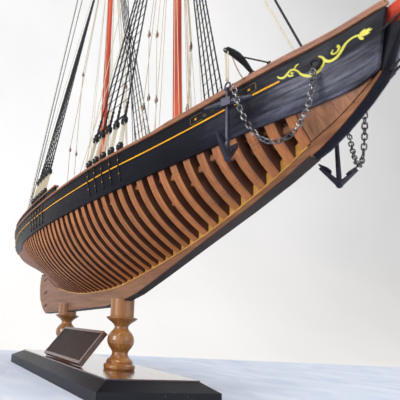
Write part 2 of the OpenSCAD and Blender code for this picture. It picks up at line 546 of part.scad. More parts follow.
module tree(p, rake, hole_r) {
    difference() {
        translate(p) rotate([0, -rake, 0]) {
            both() translate([3, 3.6, 0]) cube([20, 1.6, 2.4], center = true);
            for (x = [-4.8, 11.2]) translate([x, 0, 0]) cube([1.8, 8.6, 2.2], center = true);
            translate([11.2, 0, 0]) cube([1.4, 46, 1.4], center = true);
            translate([3.3, 0, 0]) cube([1.2, 8.6, 2.2], center = true);
        }
        translate(p - [0, 0, 20]) rotate([0, -rake, 0]) cylinder(h = 40, r = hole_r);
        translate(p - [0, 0, 20] + ahead + [sin(rake) * 20, 0, 0]) rotate([0, -rake, 0]) cylinder(h = 40, r = 2.3);
    }
}
module crosstrees() color([0.3, 0.13, 0.07]) {
    tree(fore_pt(fore_cap_z - doubling + 2.4), fore_rake, head_r + 0.35);
    tree(main_pt(main_cap_z - doubling + 2.4), main_rake, head_r + 0.35);
}
module cap(p, rake) {
    difference() {
        translate(p) rotate([0, -rake, 0]) translate([3.3, 0, 0]) cube([16.5, 8, 2.4], center = true);
        translate(p) rotate([0, -rake, 0]) cylinder(h = 10, r = head_r + 0.1, center = true);
        translate(p + ahead) rotate([0, -rake, 0]) cylinder(h = 10, r = 2.3, center = true);
    }
}
module mast_caps() color([0.2, 0.1, 0.06]) {
    cap(fore_pt(fore_cap_z), fore_rake);
    cap(main_pt(main_cap_z), main_rake);
}
sprit_stem_z = 172.4;
sprit_v = [cos(sprit_steeve), 0, sin(sprit_steeve)];
function sprit_pt(s) = [stem_x, 0, sprit_stem_z] + s * sprit_v;
module bowsprit() color([0.8, 0.22, 0.07]) {
    bar(sprit_pt(-42), sprit_pt(8), sprit_r - 0.3, sprit_r, 36);
    bar(sprit_pt(7.9), sprit_pt(sprit_out), sprit_r, 2.2, 36);
    bar(sprit_pt(sprit_out - 6), sprit_pt(sprit_out - 4), 3.1, 3.1, 36);
}

// ---------------------------------------------------------------- booms and gaffs
jaw_off = 6.6;
// a spar lying aft from a mast point, raised by an angle, with a pair of jaws round the mast
module spar(p, len_mm, up, r, jaw_r) {
    d = [-cos(up), 0, sin(up)];
    bar(p + jaw_off * d, p + len_mm * 0.45 * d, r * 0.85, r);
    bar(p + (len_mm * 0.45 - 0.1) * d, p + len_mm * d, r, r * 0.7);
    difference() {
        translate(p) rotate([0, up, 0]) translate([-2.5, 0, 0]) cube([10, 2 * jaw_r + 2.6, 1.7], center = true);
        translate(p) cylinder(h = 60, r = jaw_r, center = true);
        translate(p) rotate([0, up, 0]) translate([7.4, 0, 0]) cube([10, 2 * jaw_r, 8], center = true);
    }
}
boom_z_over = 17;
main_boom_at = main_pt(rail_z(main_x) + boom_z_over + 2);
fore_boom_at = fore_pt(rail_z(fore_x) + boom_z_over);
main_gaff_at = main_pt(main_cap_z - doubling - 44);
fore_gaff_at = fore_pt(fore_cap_z - doubling - 40);
module main_boom() color([0.78, 0.55, 0.3]) spar(main_boom_at, main_boom_len, 3, boom_r, mast_r + 0.35);
module fore_boom() color([0.78, 0.55, 0.3]) spar(fore_boom_at, fore_boom_len, 3, boom_r, mast_r + 0.35);
module main_gaff() color([0.78, 0.55, 0.3]) spar(main_gaff_at, main_gaff_len, gaff_peak, gaff_r, mast_r + 0.35);
module fore_gaff() color([0.78, 0.55, 0.3]) spar(fore_gaff_at, fore_gaff_len, gaff_peak, gaff_r, mast_r + 0.35);

// ---------------------------------------------------------------- standing rigging
eye_r = 2.7;
eye_t = 2.4;
shroud_n = 5;
fore_eye_x = fore_x + 6;
fore_eye_step = -9.25;
main_eye_x = main_x + 18;
main_eye_step = -10;
function eye_x(m, i) = m == 0 ? fore_eye_x + i * fore_eye_step : main_eye_x + i * main_eye_step;
function hound(m) = m == 0 ? fore_pt(fore_cap_z - doubling - 1) : main_pt(main_cap_z - doubling - 1);
function rail_rise(x) = x < monkey_x ? rail_t_mm + monkey_h + cap_h + 2 * gap : rail_t_mm;
function eye_low(m, i) = let (x = eye_x(m, i)) [x, rail_y(x) + 1, rail_z(x) + rail_rise(x) + eye_r + 0.3];
function eye_dir(m, i) = let (d = hound(m) + [-2, 3.6 - i * 0.3, 0] - eye_low(m, i)) d / norm(d);
lanyard_len = 20;
function eye_high(m, i) = eye_low(m, i) + lanyard_len * eye_dir(m, i);
module eye_disc(p, d) translate(p) rotate([90 + atan2(-d[1], d[2]), 0, 0]) cylinder(h = eye_t, r = eye_r, center = true, $fn = 32);
module deadeyes() color([0.05, 0.05, 0.05])
    both() for (m = [0:1], i = [0:shroud_n - 1]) {
        eye_disc(eye_low(m, i), eye_dir(m, i));
        eye_disc(eye_high(m, i), eye_dir(m, i));
    }
module lanyards() color([0.85, 0.77, 0.6]) both() {
    for (m = [0:1], i = [0:shroud_n - 1], k = [-1:1]) let (d = eye_dir(m, i), a = eye_low(m, i), b = eye_high(m, i))
        bar(a + [k * 1.2, 0, 0] + (eye_r + 0.25) * d, b + [k * 1.2, 0, 0] - (eye_r + 0.25) * d, 0.3, 0.3, 16);
    // tackle from the cathead down to the anchor ring
    bar(cat_end - [0, 0, 1.8], anchor_at + [0, 0, 3], 0.35, 0.35, 16);
}
module shrouds() color([0.05, 0.05, 0.05])
    both() for (m = [0:1]) {
        for (i = [0:shroud_n - 1]) bar(eye_high(m, i) + (eye_r + 0.1) * eye_dir(m, i), eye_low(m, i) + shroud_len(m, i) * eye_dir(m, i), 0.45, 0.45, 16);
        for (k = [0:ratline_n - 1]) bar(shroud_at(m, 0, k) + ratline_out, shroud_at(m, shroud_n - 1, k) + ratline_out, 0.22, 0.22, 16);
    }
function shroud_len(m, i) = norm(hound(m) - eye_low(m, i)) - 8 - i * 1.5;
ratline_n = 24;
ratline_step = 8.5;
ratline_out = [0, 1.3, 0];
function shroud_at(m, i, k) = eye_low(m, i) + (lanyard_len + 18 + k * ratline_step) * eye_dir(m, i);
// iron straps down the planking that hold the lower deadeyes
function strap_y(x, z) = max(hull_y(x - 0.6, z), hull_y(x + 0.6, z)) + plank_t + plank_gap + 0.12;
strap_t = 0.5;
module chainplates() color([0.08, 0.08, 0.08])
    both() for (m = [0:1], i = [0:shroud_n - 1]) let (x = eye_x(m, i), zs = steps(rail_z(x) - 18, rail_z(x) - 0.5, 5)) {
        translate([x, 0, 0]) rotate([90, 0, 90]) linear_extrude(1.2, center = true)
            polygon(concat([for (z = zs) [strap_y(x, z), z]], [for (j = [5:-1:0]) [strap_y(x, zs[j]) + strap_t, zs[j]]]));
        for (j = [1, 3]) translate([x, strap_y(x, zs[j]) + strap_t, zs[j]]) rotate([90, 0, 0]) cylinder(h = 0.7, r = 0.8, center = true, $fn = 16);
    }
fore_stay_foot = [254, 0, sprit_pt(254 - stem_x)[2] + sprit_r + 0.8];
module stays() color([0.05, 0.05, 0.05]) {
    bar(fore_stay_foot, fore_pt(fore_cap_z - doubling) + [13.2, 0, 2.4], 0.55, 0.55, 16);
    bar(sprit_pt(20) + [0, 0, sprit_r + 0.9], fore_pt(fore_cap_z - doubling) + [9.9, 0, 26], 0.45, 0.45, 16);
    bar(sprit_pt(sprit_out - 2) + [0, 0, 3.1], fore_pt(fore_truck_z - 14) + ahead + [1.7, 0, 0], 0.4, 0.4, 16);
    bar(fore_pt(fore_cap_z) + [-6, 0, 0.5], main_pt(main_cap_z - 12) + [3.4 + 7, 0, 0], 0.4, 0.4, 16);
    for (y = [-1.3, 1.3]) bar([290.4, y, 148.9], sprit_pt(sprit_out - 8) + [0, y, -3.4], 0.45, 0.45, 16);
    both() bar([292.6, 7.4, 163], sprit_pt(sprit_out - 9) + [0, 3.4, 0], 0.4, 0.4, 16);
    both() bar(main_pt(main_truck_z - 24) + ahead + [0, 1.6, 0], [-52, rail_y(-52) + 1, rail_z(-52) + rail_rise(-52) + 0.6], 0.35, 0.35, 16);
}

// ---------------------------------------------------------------- catheads, anchors, chain
cat_x = 237;
rail_top = rail_t_mm + 1.65;
cat_root = [cat_x, rail_y(cat_x) + 0.2, rail_z(cat_x) + rail_top + 1.3];
cat_end = [cat_x - 1.6, rail_y(cat_x) + 14.2, rail_z(cat_x) + 14.2];
brace_x = 247;
module cathead_one() {
    d = cat_end - cat_root;
    bar(cat_root, cat_root + 0.55 * d, 1, 1.7, 20);
    bar(cat_root + 0.54 * d, cat_end, 1.7, 1.3, 20);
    translate(cat_root) cylinder(h = 1.6, r = 1.9, center = true);
    bar([brace_x, rail_y(brace_x), rail_z(brace_x) + rail_top + 1], cat_root + 0.55 * d + [0.5, 0, 0.4], 0.4, 0.4, 16);
    translate([brace_x, rail_y(brace_x), rail_z(brace_x) + rail_top + 0.3]) cylinder(h = 0.8, r = 1.3);
}
module catheads() color([0.06, 0.06, 0.06]) both() cathead_one();
anchor_at = [cat_x - 2.2, rail_y(cat_x) + 13.2, rail_z(cat_x) - 4.3];
anchor_yaw = 115;
stock_drop = 9;
arm_span = 9.5;
arm_rise = 8.6;
module anchor_body(yaw) {
    // hangs from a pin along X at the origin; the stock lies square to the arms
    rotate([0, 90, 0]) cylinder(h = 3, r = 0.5, center = true);
    rotate([0, 0, yaw]) {
        translate([0, 0, -1.9]) rotate([90, 0, 0]) rotate_extrude($fn = 32) translate([1.9, 0]) circle(r = 0.4, $fn = 16);
        translate([0, 0, -shank_len / 2 - 2.6]) cube([2.4, 1.8, shank_len - 2], center = true);
        translate([0, 0, -stock_drop]) cube([2.2, 25, 2.1], center = true);
        for (s = [-1, 1]) {
            bar([0, 0, -shank_len - 1], [s * arm_span, 0, arm_rise - shank_len - 1], 1.2, 0.8, 16);
            translate([s * (arm_span - 1.2), 0, arm_rise - shank_len - 1.6]) rotate([0, s * 42, 0]) cube([1.2, 4.2, 4.4], center = true);
        }
    }
}
module starboard_anchor() color([0.12, 0.12, 0.15]) translate([anchor_at[0], -anchor_at[1], anchor_at[2]]) anchor_body(anchor_yaw);
module port_anchor() color([0.12, 0.12, 0.15]) translate(anchor_at) anchor_body(-anchor_yaw);
hawse_x = 266.6;
hawse_at = [hawse_x, rail_y(hawse_x) + 3, rail_z(hawse_x) - 8.6];
// the cable hangs in a curve from the hawse ring to the anchor ring
cable_p = [hawse_at + [0.3, 1.2, -3.4], hawse_at + [-1, 1.5, -37], anchor_at + [13, -3, -52], anchor_at + [4.8, 1.6, -0.8]];
function cable(t) = bez(cable_p, t);
function stations(t) = t > 0.995 ? [] : concat([t], stations(t + chain_pitch / norm(3 * dbez(cable_p, t + 0.01))));
module link(p, q, odd) {
    d = q - p;
    l = norm(d);
    translate((p + q) / 2) rotate([0, acos(d[2] / l), atan2(d[1], d[0])]) rotate([0, 0, odd * 90]) rotate([90, 0, 0])
        linear_extrude(1.8 * chain_wire, center = true) difference() {
            stadium(link_half, link_r + 1.8 * chain_wire);
            stadium(link_half, link_r);
        }
}
link_r = 0.6;
link_half = chain_pitch / 2 - link_r + 0.15;
module stadium(half, r) {
    square([2 * r, 2 * half], center = true);
    for (s = [-1, 1]) translate([0, s * half]) circle(r = r, $fn = 24);
}
module anchor_chains() color([0.62, 0.62, 0.64]) both() {
    ts = stations(0);
    for (i = [0:len(ts) - 2]) link(cable(ts[i]), cable(ts[i + 1]), i % 2);
    translate(hawse_at) rotate([0, 98, 67]) rotate_extrude($fn = 32) translate([1.9, 0]) circle(r = 0.5, $fn = 16);
}

/* NODES */
base_board();
base_top_panel();
fore_pedestal();
aft_pedestal();
pedestal_screws();
plaque_frame();
plaque_plate();
keel();
keel_shoe();
stem();
cutwater();
sternpost();
rising_wood();
frames();
stringers();
bow_filler();
stern_filler();
port_wale();
starboard_wale();
port_bulwark();
starboard_bulwark();
transom();
main_deck();
quarterdeck();
deck_beams();
bulwark_stanchions();
port_rail();
starboard_rail();
monkey_rails();
monkey_caps();
cabin_trunk();
cabin_slide();
main_hatch();
forecastle_hatch();
windlass_posts();
windlass_barrel();
wheel_box();
steering_wheel();
deck_pumps();
rudder();
fore_mast();
main_mast();
fore_topmast();
main_topmast();
crosstrees();
mast_caps();
bowsprit();
main_boom();
fore_boom();
main_gaff();
fore_gaff();
deadeyes();
lanyards();
shrouds();
chainplates();
stays();
catheads();
starboard_anchor();
port_anchor();
anchor_chains();
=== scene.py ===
import math
import random

import bpy
from mathutils import Matrix, Vector


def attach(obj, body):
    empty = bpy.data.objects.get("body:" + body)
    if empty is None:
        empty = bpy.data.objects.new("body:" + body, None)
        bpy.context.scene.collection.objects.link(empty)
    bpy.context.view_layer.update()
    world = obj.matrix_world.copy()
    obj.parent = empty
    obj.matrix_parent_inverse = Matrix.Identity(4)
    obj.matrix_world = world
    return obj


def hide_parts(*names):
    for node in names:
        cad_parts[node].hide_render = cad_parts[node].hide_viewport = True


# Looks for the plank-on-frame schooner. Lengths below are millimetres unless a name says otherwise.
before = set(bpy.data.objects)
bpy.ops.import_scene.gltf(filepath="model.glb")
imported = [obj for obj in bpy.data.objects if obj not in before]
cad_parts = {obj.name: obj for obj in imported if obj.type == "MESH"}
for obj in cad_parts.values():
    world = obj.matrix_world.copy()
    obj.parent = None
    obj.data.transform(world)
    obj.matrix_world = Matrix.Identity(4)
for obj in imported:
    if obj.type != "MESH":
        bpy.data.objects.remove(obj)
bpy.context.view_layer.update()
random.seed(11)
MM = 0.001
TAU = 2 * math.pi
SHARP = math.radians(38)

# ---------------- hull lines, the same as in the CAD source
HULL_LEN, HALF_BEAM, STEM_X, KEEL_HALF = 605, 60.5, 292.6, 3
BREADTH = [(-.004, .03), (0, .05), (.03, .132), (.074, .298), (.14, .487), (.208, .653), (.29, .843),
           (.4, .962), (.5, 1), (.6, .975), (.7, .885), (.8, .7), (.9, .485), (1, .285)]
RAIL = [(0, 174), (.05, 168.5), (.1, 163.9), (.153, 159.5), (.213, 156), (.318, 151), (.484, 146),
        (.65, 144.5), (.814, 147.5), (1, 156)]
RABBET = [(0, 165), (.006, 151.5), (.0142, 147.2), (.04, 138), (.07, 130.6), (.102, 121.9), (.166, 108.2),
          (.23, 97), (.32, 85), (.4, 76.8), (.47, 74.3), (.55, 74.2), (.64, 79.3), (.7, 86.5), (.756, 97),
          (.82, 107.6), (.88, 117.2), (.946, 129), (1, 139)]
BAND = [(0, 26), (.06, 24), (.12, 22.5), (.3, 21.6), (.5, 20.6), (.7, 19.6), (1, 17)]
LOW_OUT = [(0, .45), (.1, .55), (.3, .56), (.48, .58), (.62, .42), (.72, .2), (.8, .3), (.88, .5), (1, .6)]
LOW_UP = [(0, .25), (.1, .22), (.3, .22), (.48, .205), (.62, .25), (.72, .36), (.8, .14), (.88, .03), (1, 0)]
HIGH_OUT = [(0, .9), (.1, 1.03), (.3, .94), (.48, .98), (.62, .98), (.72, .9), (.8, .92), (.88, .98), (1, 1)]
HIGH_UP = [(0, .5), (.1, .45), (.3, .45), (.48, .417), (.62, .42), (.72, .42), (.8, .36), (.88, .3), (1, .4)]


def fair(v, t):
    """Smooth curve through the (position, value) pairs of t, read at v."""
    if v <= t[0][0]:
        return t[0][1]
    if v >= t[-1][0]:
        return t[-1][1]
    k = max(i for i in range(len(t) - 1) if t[i][0] < v)

    def grade(i):
        a, b = max(i - 1, 0), min(i + 1, len(t) - 1)
        return (t[b][1] - t[a][1]) / (t[b][0] - t[a][0])
    h = t[k + 1][0] - t[k][0]
    u = (v - t[k][0]) / h
    return ((2 * u ** 3 - 3 * u * u + 1) * t[k][1] + (u ** 3 - 2 * u * u + u) * h * grade(k)
            + (3 * u * u - 2 * u ** 3) * t[k + 1][1] + (u ** 3 - u * u) * h * grade(k + 1))


def frac(x):
    """How far x lies behind the stem, as a part of the hull's length."""
    return (STEM_X - x) / HULL_LEN


def rail_y(x):
    return HALF_BEAM * fair(frac(x), BREADTH)


def rail_z(x):
    return fair(frac(x), RAIL)


def rabbet_z(x):
    return fair(frac(x), RABBET)


def band_z(x):
    """Lower edge of the black planking."""
    return max(rail_z(x) - fair(frac(x), BAND), rabbet_z(x) + 0.6)


BREAK_X, DECK_T, SEAM_DROP = -36, 1.6, 9.6


def deck_z(x):
    """Top of the planking: the quarterdeck behind the break, the main deck ahead of it."""
    return rail_z(x) - (8.4 if x < BREAK_X else 11)


def corner(x):
    """The hull's section at x: four (y, z) points of a cubic curve from keel to rail."""
    f = frac(x)
    k = min(KEEL_HALF + 0.3, rail_y(x) - 0.2)
    w, z = rail_y(x) - k, rabbet_z(x)
    h = rail_z(x) - z
    return ((k, z), (k + fair(f, LOW_OUT) * w, z + fair(f, LOW_UP) * h),
            (k + fair(f, HIGH_OUT) * w, z + fair(f, HIGH_UP) * h), (rail_y(x), rail_z(x)))


def bez(p, u):
    """Point of a cubic curve with four control points."""
    a, b, c, d = (1 - u) ** 3, 3 * u * (1 - u) ** 2, 3 * u * u * (1 - u), u ** 3
    return tuple(a * p[0][i] + b * p[1][i] + c * p[2][i] + d * p[3][i] for i in range(len(p[0])))


def slope(p, u):
    """Unit direction of the section curve at u."""
    a, b, c = (1 - u) ** 2, 2 * u * (1 - u), u * u
    v = [a * (p[1][i] - p[0][i]) + b * (p[2][i] - p[1][i]) + c * (p[3][i] - p[2][i]) for i in range(2)]
    n = math.hypot(*v)
    return v[0] / n, v[1] / n


def seek(p, z):
    """Where the section curve reaches height z."""
    lo, hi = 0.0, 1.0
    for _ in range(18):
        m = (lo + hi) / 2
        if bez(p, m)[1] < z:
            lo = m
        else:
            hi = m
    return (lo + hi) / 2


def hull_y(x, z):
    p = corner(x)
    return bez(p, seek(p, z))[0]


def span(a, b, n):
    """n equal steps from a to b, both ends included."""
    return [a + (b - a) * i / n for i in range(n + 1)]


# ---------------- mesh building
def circle(n, turn=0.0):
    """Cosine and sine of n even steps round a circle."""
    return [(math.cos(TAU * k / n + turn), math.sin(TAU * k / n + turn)) for k in range(n)]


class Batch:
    """Collects vertices, faces, texture coordinates and a per-part tone for one object."""

    def __init__(self):
        self.v, self.f, self.uv, self.tone = [], [], [], []

    def rings(self, rings, closed=True, caps=True, uvs=None, tone=0.0, flip=False):
        """Skin over rings of equal length; flip turns the faces for a mirrored part."""
        n, m = len(rings[0]), len(rings)
        faces = []
        for i in range(m - 1):
            for j in range(n if closed else n - 1):
                a, b = i * n + j, i * n + (j + 1) % n
                faces.append((a, b, b + n, a + n) if not flip else (a + n, b + n, b, a))
        if caps:
            ends = [tuple(range(n - 1, -1, -1)), tuple((m - 1) * n + j for j in range(n))]
            faces += [e[::-1] for e in ends] if flip else ends
        o = len(self.v)
        self.v += [tuple(p) for r in rings for p in r]
        self.f += [tuple(i + o for i in f) for f in faces]
        self.uv += uvs or [(0, 0)] * (n * m)
        self.tone += [tone] * (n * m)

    def tube(self, path, r, n=10, r2=None, tone=0.0):
        """Round tube along a path. Texture u is millimetres of length, v goes once round."""
        path = [Vector(p) for p in path]
        m = len(path)
        r2 = r if r2 is None else r2
        lens = [0.0]
        for i in range(1, m):
            lens.append(lens[-1] + (path[i] - path[i - 1]).length)
        side = None
        rings, uvs = [], []
        for i, p in enumerate(path):
            d = (path[min(i + 1, m - 1)] - path[max(i - 1, 0)]).normalized()
            if side is None:
                side = d.orthogonal().normalized()
            side = (side - side.dot(d) * d).normalized()
            up = d.cross(side)
            rr = r + (r2 - r) * lens[i] / max(lens[-1], 1e-6)
            ring = [p + rr * (c * side + s * up) for c, s in circle(n)]
            rings.append(ring + ring[:1])
            uvs += [(lens[i], k / n) for k in range(n + 1)]
        self.rings(rings, closed=False, caps=True, uvs=uvs, tone=tone)

    def spin(self, at, axis, profile, n=28, tone=0.0):
        """Solid of revolution: profile is (radius, height) pairs along axis from at."""
        at, axis = Vector(at), Vector(axis).normalized()
        s = axis.orthogonal().normalized()
        t = axis.cross(s)
        rings = [[at + h * axis + max(r, 0.01) * (u * s + v * t) for u, v in circle(n)] for r, h in profile]
        self.rings(rings, tone=tone, uvs=[(h, k / n) for r, h in profile for k in range(n)])

    def ball(self, at, r, n=10, stretch=(1, 1, 1), tone=0.0):
        wide, deep, tall = (r * k for k in stretch)
        x, y, z = at
        rings = [[(x + wide * math.sin(a) * c, y + deep * math.sin(a) * s, z - tall * math.cos(a))
                  for c, s in circle(n)] for a in span(0, math.pi, n)[1:-1]]
        self.rings(rings, tone=tone)

    def ring_link(self, at, along, flat, half, r, wire, n=22, k=8, tone=0.0):
        """A torus stretched by half on each side of its centre; half 0 gives a plain ring."""
        at, d = Vector(at), Vector(along).normalized()
        nrm = Vector(flat)
        nrm = (nrm - nrm.dot(d) * d).normalized()
        across = d.cross(nrm)
        rings = []
        for c, s in circle(n):
            out = c * d + s * across
            centre = at + (half if c >= 0 else -half) * d + r * out
            rings.append([centre + wire * (u * out + v * nrm) for u, v in circle(k)])
        first = len(self.v)
        last = first + (n - 1) * k
        self.rings(rings, caps=False, tone=tone)
        self.f += [(last + j, last + (j + 1) % k, first + (j + 1) % k, first + j) for j in range(k)]

    def block(self, at, size, turn=None, tone=0.0, taper=1.0):
        """Rectangular block; turn is a 3x3 matrix; taper scales the +Z end."""
        at = Vector(at)
        pts = []
        for z in (-1, 1):
            k = taper if z > 0 else 1
            for x, y in ((-1, -1), (1, -1), (1, 1), (-1, 1)):
                q = Vector((x * size[0] / 2 * k, y * size[1] / 2 * k, z * size[2] / 2))
                pts.append(at + (turn @ q if turn else q))
        self.rings([pts[:4], pts[4:]], tone=tone)

    def mirror(self):
        """Adds the same shapes on the other side."""
        o, m = len(self.v), len(self.f)
        self.v += [(x, -y, z) for x, y, z in self.v[:o]]
        self.f += [tuple(i + o for i in f[::-1]) for f in self.f[:m]]
        self.uv += self.uv[:o]
        self.tone += self.tone[:o]
        return self


def build(name, batch, mat, body="hull", nodes=(), bevel=0.0):
    """Makes one object from a batch; it rides on body and stands for the CAD nodes named."""
    me = bpy.data.meshes.new(name)
    me.from_pydata([(x * MM, y * MM, z * MM) for x, y, z in batch.v], [], batch.f)
    layer = me.uv_layers.new(name="UVMap")
    idx = [0] * len(me.loops)
    me.loops.foreach_get("vertex_index", idx)
    layer.data.foreach_set("uv", [c for i in idx for c in batch.uv[i]])
    tone = me.attributes.new("tone", "FLOAT", "POINT")
    tone.data.foreach_set("value", batch.tone)
    me.shade_smooth()
    me.set_sharp_from_angle(angle=SHARP)
    obj = bpy.data.objects.new(name, me)
    bpy.context.scene.collection.objects.link(obj)
    me.materials.append(mat)
    if bevel:
        soften(obj, bevel)
    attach(obj, body)
    if nodes:
        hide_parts(*nodes)


def soften(obj, width):
    mod = obj.modifiers.new("edges", "BEVEL")
    mod.width = width * MM
    mod.segments = 2
    mod.limit_method = "ANGLE"
    mod.angle_limit = math.radians(40)


def dress(node, mat, bevel=0.0):
    """Gives a carried-over CAD node its material, shading and edge softening."""
    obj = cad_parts[node]
    obj.data.materials.clear()
    obj.data.materials.append(mat)
    obj.data.shade_smooth()
    obj.data.set_sharp_from_angle(angle=SHARP)
    if bevel:
        soften(obj, bevel)


# ---------------- materials
def rgb(*levels):
    """Linear colour from three screen levels of 0 to 255."""
    parts = [level / 255 for level in levels]
    return tuple(c / 12.92 if c <= 0.04045 else ((c + 0.055) / 1.055) ** 2.4 for c in parts) + (1,)


class Mat:
    """Small helper round a node tree."""

    def __init__(self, name):
        self.mat = bpy.data.materials.new(name)
        self.mat.use_nodes = True
        self.t = self.mat.node_tree
        self.b = self.t.nodes["Principled BSDF"]

    def node(self, kind, **values):
        n = self.t.nodes.new(kind)
        for k, v in values.items():
            setattr(n, k, v)
        return n

    def link(self, a, b):
        self.t.links.new(a, b)

    def math(self, op, a, b=0.0):
        n = self.node("ShaderNodeMath", operation=op)
        for i, v in enumerate((a, b)):
            if isinstance(v, (int, float)):
                n.inputs[i].default_value = v
            else:
                self.link(v, n.inputs[i])
        return n.outputs[0]

    def add(self, a, b):
        return self.math("ADD", a, b)

    def sub(self, a, b):
        return self.math("SUBTRACT", a, b)

    def mul(self, a, b):
        return self.math("MULTIPLY", a, b)

    def coords(self, scale, kind="Object", turn=(0, 0, 0)):
        c = self.node("ShaderNodeTexCoord")
        m = self.node("ShaderNodeMapping")
        m.inputs["Scale"].default_value = scale
        m.inputs["Rotation"].default_value = turn
        self.link(c.outputs[kind], m.inputs["Vector"])
        return m.outputs[0]

    def split(self, kind="Object"):
        """The texture coordinates as three separate values."""
        n = self.node("ShaderNodeSeparateXYZ")
        self.link(self.coords((1, 1, 1), kind), n.inputs[0])
        return n.outputs

    def noise(self, scale, detail, rough, warp=0.0, kind="Object", turn=(0, 0, 0)):
        n = self.node("ShaderNodeTexNoise")
        n.inputs["Scale"].default_value = 1
        n.inputs["Detail"].default_value = detail
        n.inputs["Roughness"].default_value = rough
        n.inputs["Distortion"].default_value = warp
        self.link(self.coords(scale, kind, turn), n.inputs["Vector"])
        return n.outputs[0]

    def ramp(self, fac, stops):
        r = self.node("ShaderNodeValToRGB")
        while len(r.color_ramp.elements) < len(stops):
            r.color_ramp.elements.new(0.5)
        for e, (p, c) in zip(r.color_ramp.elements, stops):
            e.position = p
            e.color = c
        self.link(fac, r.inputs[0])
        return r.outputs[0]

    def fade(self, fac, low, high, start=0.0, end=1.0):
        """Grey ramp that goes from start at low to end at high."""
        return self.ramp(fac, [(low, (start, start, start, 1)), (high, (end, end, end, 1))])

    def mix(self, fac, a, b):
        n = self.node("ShaderNodeMix", data_type="RGBA")
        for i, v in ((0, fac), (6, a), (7, b)):
            if isinstance(v, (int, float, tuple)):
                n.inputs[i].default_value = v
            else:
                self.link(v, n.inputs[i])
        return n.outputs[2]

    def value(self, col, fac):
        n = self.node("ShaderNodeHueSaturation")
        self.link(col, n.inputs["Color"])
        self.link(fac, n.inputs["Value"])
        return n.outputs[0]

    def tone(self):
        return self.node("ShaderNodeAttribute", attribute_name="tone").outputs["Fac"]

    def bump(self, height, strength, dist=0.0002):
        n = self.node("ShaderNodeBump")
        n.inputs["Strength"].default_value = strength
        n.inputs["Distance"].default_value = dist
        self.link(height, n.inputs["Height"])
        return n.outputs[0]

    def done(self, col, rough, normal, metal=0.0, coat=0.0, spec=0.5):
        b = self.b
        self.link(col, b.inputs["Base Color"])
        self.link(normal, b.inputs["Normal"])
        if isinstance(rough, float):
            b.inputs["Roughness"].default_value = rough
        else:
            self.link(rough, b.inputs["Roughness"])
        b.inputs["Metallic"].default_value = metal
        b.inputs["Coat Weight"].default_value = coat
        b.inputs["Coat Roughness"].default_value = 0.2
        b.inputs["Specular IOR Level"].default_value = spec
        return self.mat


def wood(name, dark, mid, light, along=(14, 160, 160), rough=0.5, coat=0.0, kind="Object", joints=0.0,
         turn=(0, 0, 0), flanks=None):
    """Straight-grained wood: long soft streaks, fine pores and a slow change of tone along the piece.

    joints is the distance between the butt joints of a rib, each with its trenail; flanks is the colour
    of the faces that look forward and aft."""
    m = Mat(name)

    def layer(stretch, detail, rough, warp=0.0):
        return m.noise(tuple(stretch * s for s in along), detail, rough, warp, kind, turn)
    streak = layer(1, 7, 0.62, 0.6)
    pores = layer(4.5, 3, 0.7)
    slow = layer(0.16, 2, 0.5)
    col = m.ramp(streak, [(0.28, dark), (0.5, mid), (0.72, light)])
    col = m.mix(m.mul(m.fade(pores, 0.36, 0.5, 1, 0), 0.35), col, dark)
    shade = m.add(m.add(m.mul(slow, 0.36), 0.82), m.tone())
    height = m.add(streak, m.mul(pores, 0.5))
    if joints:
        length, across = m.split("UV")[:2]
        shifted = m.math("FLOORED_MODULO", m.add(length, m.mul(m.tone(), 260)), joints)
        pos = m.math("ABSOLUTE", m.sub(shifted, joints / 2))
        line = m.math("LESS_THAN", pos, 0.16)
        dx = m.sub(pos, 1.9)
        dy = m.sub(m.math("ABSOLUTE", m.sub(across, 0.5)), 0.2)
        dot = m.math("LESS_THAN", m.add(m.mul(dx, dx), m.mul(m.mul(dy, dy), 22)), 0.12)
        mark = m.math("MAXIMUM", line, dot)
        col = m.mix(m.mul(mark, 0.62), col, rgb(70, 32, 18))
        height = m.sub(height, m.mul(mark, 0.8))
    if flanks:
        sides = m.node("ShaderNodeSeparateXYZ")
        m.link(m.node("ShaderNodeNewGeometry").outputs["True Normal"], sides.inputs[0])
        fore_aft = m.fade(m.math("ABSOLUTE", sides.outputs[0]), 0.72, 0.84)
        col = m.mix(m.mul(fore_aft, 0.88), col, flanks)
    return m.done(m.value(col, shade), m.add(m.mul(pores, 0.2), rough - 0.1), m.bump(height, 0.25), coat=coat)


def spar_paint():
    m = Mat("spar_orange")
    cloud = m.noise((60, 60, 9), 4, 0.5)
    fine = m.noise((700, 700, 60), 3, 0.6)
    col = m.ramp(cloud, [(0.3, rgb(150, 34, 10)), (0.55, rgb(192, 58, 16)), (0.75, rgb(212, 84, 28))])
    return m.done(col, m.add(m.mul(fine, 0.15), 0.34), m.bump(fine, 0.12), coat=0.18, spec=0.35)


